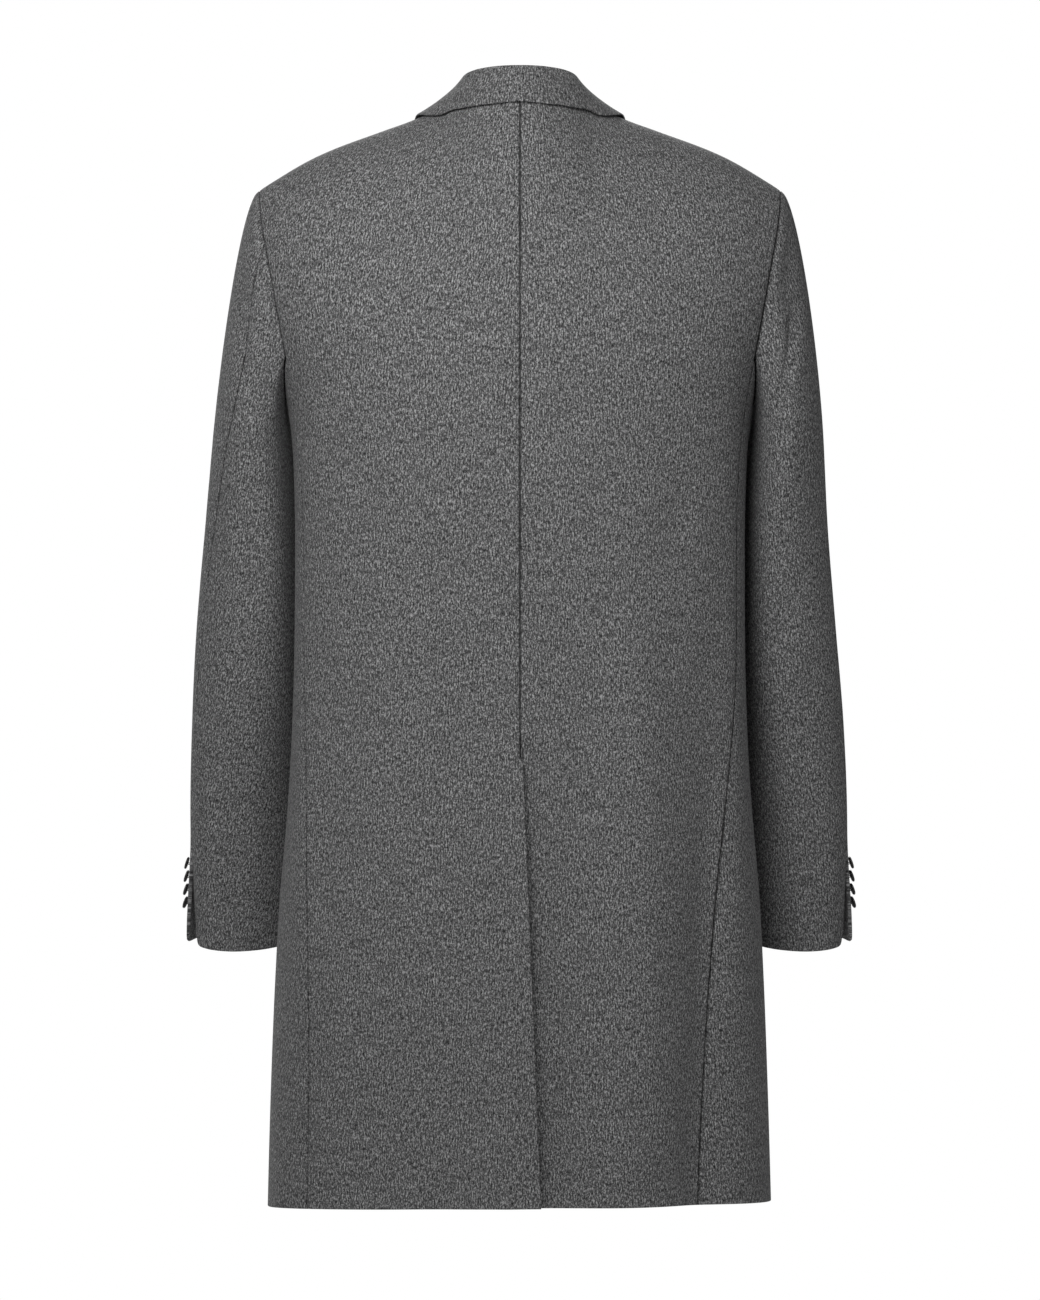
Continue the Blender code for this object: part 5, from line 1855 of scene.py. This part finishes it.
def lay_floor(scene):
    disc = bmesh.new()
    bmesh.ops.create_circle(disc, cap_ends=True, segments=FLOOR_SIDES, radius=FLOOR_RADIUS)
    bmesh.ops.translate(disc, verts=disc.verts, vec=(0, 0, FLOOR_Z))
    mesh = mesh_of(disc, "floor")
    mesh.materials.append(pale_floor())
    floor = bpy.data.objects.new("floor", mesh)
    scene.collection.objects.link(floor)
    floor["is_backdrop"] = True


def light_room(scene, studio):
    """A white room that is dimmer as a light than it looks, and large soft lamps."""
    room = bpy.data.worlds.new("white_room")
    room.use_nodes = True
    tree = room.node_tree
    tree.nodes.clear()
    seen = add(tree, "ShaderNodeBackground", {"Color": (1, 1, 1, 1), "Strength": 1.0})
    glow = add(tree, "ShaderNodeBackground", {"Color": (1, 1, 1, 1), "Strength": studio.surround})
    path = add(tree, "ShaderNodeLightPath")
    both = add(
        tree,
        "ShaderNodeMixShader",
        {0: path.outputs["Is Camera Ray"], 1: glow.outputs[0], 2: seen.outputs[0]},
    )
    add(tree, "ShaderNodeOutputWorld", {"Surface": both.outputs[0]})
    scene.world = room
    scene.view_settings.view_transform = "Standard"
    for name, share, size, x, y, z in LIGHTS:
        lamp = bpy.data.lights.new(name, "AREA")
        lamp.shape = "DISK"
        lamp.size = size
        lamp.energy = share * studio.key_power
        hung = bpy.data.objects.new(name, lamp)
        hung.location = (x, y, z)
        hung.rotation_euler = (Vector(AIM) - Vector((x, y, z))).to_track_quat("-Z", "Y").to_euler()
        hung.visible_camera = False
        scene.collection.objects.link(hung)


def set_camera(scene, studio):
    """The camera straight behind the coat."""
    lens = bpy.data.cameras.new("camera")
    lens.sensor_width = 36
    lens.lens = lens.sensor_width * studio.distance / studio.view_height
    camera = bpy.data.objects.new("camera", lens)
    camera.location = (0, studio.distance, studio.camera_z)
    camera.rotation_euler = (math.pi / 2, 0, math.pi)
    scene.collection.objects.link(camera)
    scene.camera = camera


# Settings that a user would change

class CoatFinish(bpy.types.PropertyGroup):
    """Colours of the cloth, the buttons and the thread"""

    dark_fibre: FloatVectorProperty(
        name="Dark fibre",
        description="Darkest wool in the melange",
        default=(0.012, 0.012, 0.0124),
        subtype="COLOR",
        min=0,
        max=1,
    )
    middle_fibre: FloatVectorProperty(
        name="Middle fibre",
        description="Most common wool in the melange",
        default=(0.088, 0.088, 0.089),
        subtype="COLOR",
        min=0,
        max=1,
    )
    pale_fibre: FloatVectorProperty(
        name="Pale fibre",
        description="Palest wool in the melange",
        default=(0.350, 0.350, 0.352),
        subtype="COLOR",
        min=0,
        max=1,
    )
    fleck: FloatProperty(
        name="Fleck",
        description="Size that the melange's flecks are measured in",
        default=0.00098,
        min=0.0002,
        max=0.01,
        subtype="DISTANCE",
        unit="LENGTH",
    )
    horn: FloatVectorProperty(
        name="Horn",
        description="Darkest colour of the buttons",
        default=(0.006, 0.006, 0.0065),
        subtype="COLOR",
        min=0,
        max=1,
    )
    thread: FloatVectorProperty(
        name="Thread",
        description="Colour of the sewing thread",
        default=(0.045, 0.045, 0.047),
        subtype="COLOR",
        min=0,
        max=1,
    )


class CoatSewing(bpy.types.PropertyGroup):
    """Sizes of the sewing that shows"""

    pick_pitch: FloatProperty(
        name="Pick stitch pitch",
        description="Distance between pick stitches along an edge",
        default=0.0052,
        min=0.001,
        subtype="DISTANCE",
        unit="LENGTH",
    )
    pick_length: FloatProperty(
        name="Pick stitch length",
        description="Length of one pick stitch",
        default=0.0013,
        min=0.0002,
        subtype="DISTANCE",
        unit="LENGTH",
    )
    pick_width: FloatProperty(
        name="Pick stitch width",
        description="Width of one pick stitch",
        default=0.0006,
        min=0.0001,
        subtype="DISTANCE",
        unit="LENGTH",
    )
    pick_inset: FloatProperty(
        name="Pick stitch inset",
        description="Distance of the pick stitches from the edge",
        default=0.0024,
        min=0.0005,
        subtype="DISTANCE",
        unit="LENGTH",
    )
    pick_sink: FloatProperty(
        name="Pick stitch sink",
        description="How deep the pick stitches are pulled into the cloth",
        default=0.0001,
        min=0,
        subtype="DISTANCE",
        unit="LENGTH",
    )
    hole_pitch: FloatProperty(
        name="Buttonhole stitch pitch",
        description="Distance between the stitches round a buttonhole",
        default=0.0006,
        min=0.0002,
        subtype="DISTANCE",
        unit="LENGTH",
    )
    hole_length: FloatProperty(
        name="Buttonhole stitch length",
        description="Length of one stitch round a buttonhole",
        default=0.0026,
        min=0.0005,
        subtype="DISTANCE",
        unit="LENGTH",
    )


class CoatStudio(bpy.types.PropertyGroup):
    """Light and camera of the studio"""

    key_power: FloatProperty(
        name="Key light",
        description="Power of the large light on the upper left",
        default=20,
        min=0,
        subtype="POWER",
        unit="POWER",
    )
    surround: FloatProperty(
        name="Surround",
        description="Strength of the pale room's light",
        default=0.20,
        min=0,
        subtype="FACTOR",
    )
    distance: FloatProperty(
        name="Camera distance",
        description="Distance from the camera to the coat's middle",
        default=6.0,
        min=1,
        subtype="DISTANCE",
        unit="LENGTH",
    )
    view_height: FloatProperty(
        name="View height",
        description="Height that the camera's view takes in at the coat's middle",
        default=PHOTO_ROWS * PIXEL,
        min=0.1,
        subtype="DISTANCE",
        unit="LENGTH",
    )
    camera_z: FloatProperty(
        name="Camera height",
        description="Height of the camera, from the neck's middle",
        default=(NECK_ROW - PHOTO_ROWS / 2) * PIXEL,
        subtype="DISTANCE",
        unit="LENGTH",
    )


# One operator for each group of pieces

class COAT_OT_backs(bpy.types.Operator):
    """Sew both halves of the back, lapped at the vent"""

    bl_idname = "coat.backs"
    bl_label = "Backs"

    def execute(self, context):
        for side, sign in SIDES:
            sew(back_panel(side, sign))
        return {"FINISHED"}


class COAT_OT_flanks(bpy.types.Operator):
    """Sew the panels under the arms"""

    bl_idname = "coat.flanks"
    bl_label = "Side Panels"

    def execute(self, context):
        for side, sign in SIDES:
            sew(flank_panel(side, sign))
        return {"FINISHED"}


class COAT_OT_fronts(bpy.types.Operator):
    """Sew both fronts, lapped left over right"""

    bl_idname = "coat.fronts"
    bl_label = "Fronts"

    def execute(self, context):
        for side, sign in SIDES:
            sew(front_panel(side, sign))
        return {"FINISHED"}


class COAT_OT_lapels(bpy.types.Operator):
    """Turn the front edges back over the fronts"""

    bl_idname = "coat.lapels"
    bl_label = "Lapels"

    def execute(self, context):
        for side, sign in SIDES:
            sew(lapel_panel(side, sign))
        return {"FINISHED"}


class COAT_OT_collar(bpy.types.Operator):
    """Fold the collar over the neck seam"""

    bl_idname = "coat.collar"
    bl_label = "Collar"

    def execute(self, context):
        sew(collar_panel())
        return {"FINISHED"}


class COAT_OT_sleeves(bpy.types.Operator):
    """Set in both halves of each sleeve"""

    bl_idname = "coat.sleeves"
    bl_label = "Sleeves"

    def execute(self, context):
        for side, sign in SIDES:
            sew(top_sleeve_panel(side, sign))
            sew(under_sleeve_panel(side, sign))
        return {"FINISHED"}


class COAT_OT_cuff_buttons(bpy.types.Operator):
    """Sew the buttons onto the cuffs' vents"""

    bl_idname = "coat.cuff_buttons"
    bl_label = "Cuff Buttons"

    def execute(self, context):
        for side, sign in SIDES:
            sew_buttons(cuff_button_places(side, sign), CUFF_BUTTON_RADIUS, CUFF_BUTTON_DEPTH)
        return {"FINISHED"}


class COAT_OT_front_buttons(bpy.types.Operator):
    """Sew the buttons onto the front"""

    bl_idname = "coat.front_buttons"
    bl_label = "Front Buttons"

    def execute(self, context):
        sew_buttons(front_button_places(), FRONT_BUTTON_RADIUS, FRONT_BUTTON_DEPTH)
        return {"FINISHED"}


class COAT_OT_pick_stitches(bpy.types.Operator):
    """Pick-stitch the vent, the lapels, the collar and the front edge"""

    bl_idname = "coat.pick_stitches"
    bl_label = "Pick Stitches"

    def execute(self, context):
        sewing = context.scene.coat_sewing
        stitch_lines(
            "pick_stitches", pick_stitch_lines(), sewing.pick_pitch, sewing.pick_length, sewing.pick_width
        )
        return {"FINISHED"}


class COAT_OT_buttonholes(bpy.types.Operator):
    """Work the buttonholes on the left front"""

    bl_idname = "coat.buttonholes"
    bl_label = "Buttonholes"

    def execute(self, context):
        sewing = context.scene.coat_sewing
        stitch_lines(
            "buttonhole_stitches",
            buttonhole_lines(),
            sewing.hole_pitch,
            sewing.hole_length,
            BUTTONHOLE_FULLNESS * sewing.hole_pitch,
        )
        return {"FINISHED"}


class COAT_OT_studio(bpy.types.Operator):
    """Set up the pale floor, the soft lights and the camera"""

    bl_idname = "coat.studio"
    bl_label = "Studio"

    def execute(self, context):
        scene = context.scene
        studio = scene.coat_studio
        lay_floor(scene)
        light_room(scene, studio)
        set_camera(scene, studio)
        return {"FINISHED"}


# The add-on

STEPS = (
    COAT_OT_backs,
    COAT_OT_flanks,
    COAT_OT_fronts,
    COAT_OT_lapels,
    COAT_OT_collar,
    COAT_OT_sleeves,
    COAT_OT_cuff_buttons,
    COAT_OT_front_buttons,
    COAT_OT_pick_stitches,
    COAT_OT_buttonholes,
    COAT_OT_studio,
)


class COAT_PT_panel(bpy.types.Panel):
    """Steps of the coat and the settings that they use"""

    bl_idname = "COAT_PT_panel"
    bl_label = "Tailored Coat"
    bl_space_type = "VIEW_3D"
    bl_region_type = "UI"
    bl_category = "Coat"

    def draw(self, context):
        layout = self.layout
        for settings in (context.scene.coat_finish, context.scene.coat_sewing, context.scene.coat_studio):
            box = layout.box()
            for name in settings.__annotations__:
                box.prop(settings, name)
        for step in STEPS:
            layout.operator(step.bl_idname)


SETTINGS = (("coat_finish", CoatFinish), ("coat_sewing", CoatSewing), ("coat_studio", CoatStudio))


def register():
    for name, group in SETTINGS:
        bpy.utils.register_class(group)
        setattr(bpy.types.Scene, name, PointerProperty(type=group))
    for step in STEPS:
        bpy.utils.register_class(step)
    bpy.utils.register_class(COAT_PT_panel)


def unregister():
    bpy.utils.unregister_class(COAT_PT_panel)
    for step in reversed(STEPS):
        bpy.utils.unregister_class(step)
    for name, group in reversed(SETTINGS):
        delattr(bpy.types.Scene, name)
        bpy.utils.unregister_class(group)


def main():
    register()
    for step in STEPS:
        family, name = step.bl_idname.split(".")
        getattr(getattr(bpy.ops, family), name)()
    boxes = {"cad": CAD_BOX, "visual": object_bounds()}
    {name: [[float(v) for v in corner] for corner in box] for name, box in boxes.items()}


if __name__ == "__main__":
    main()
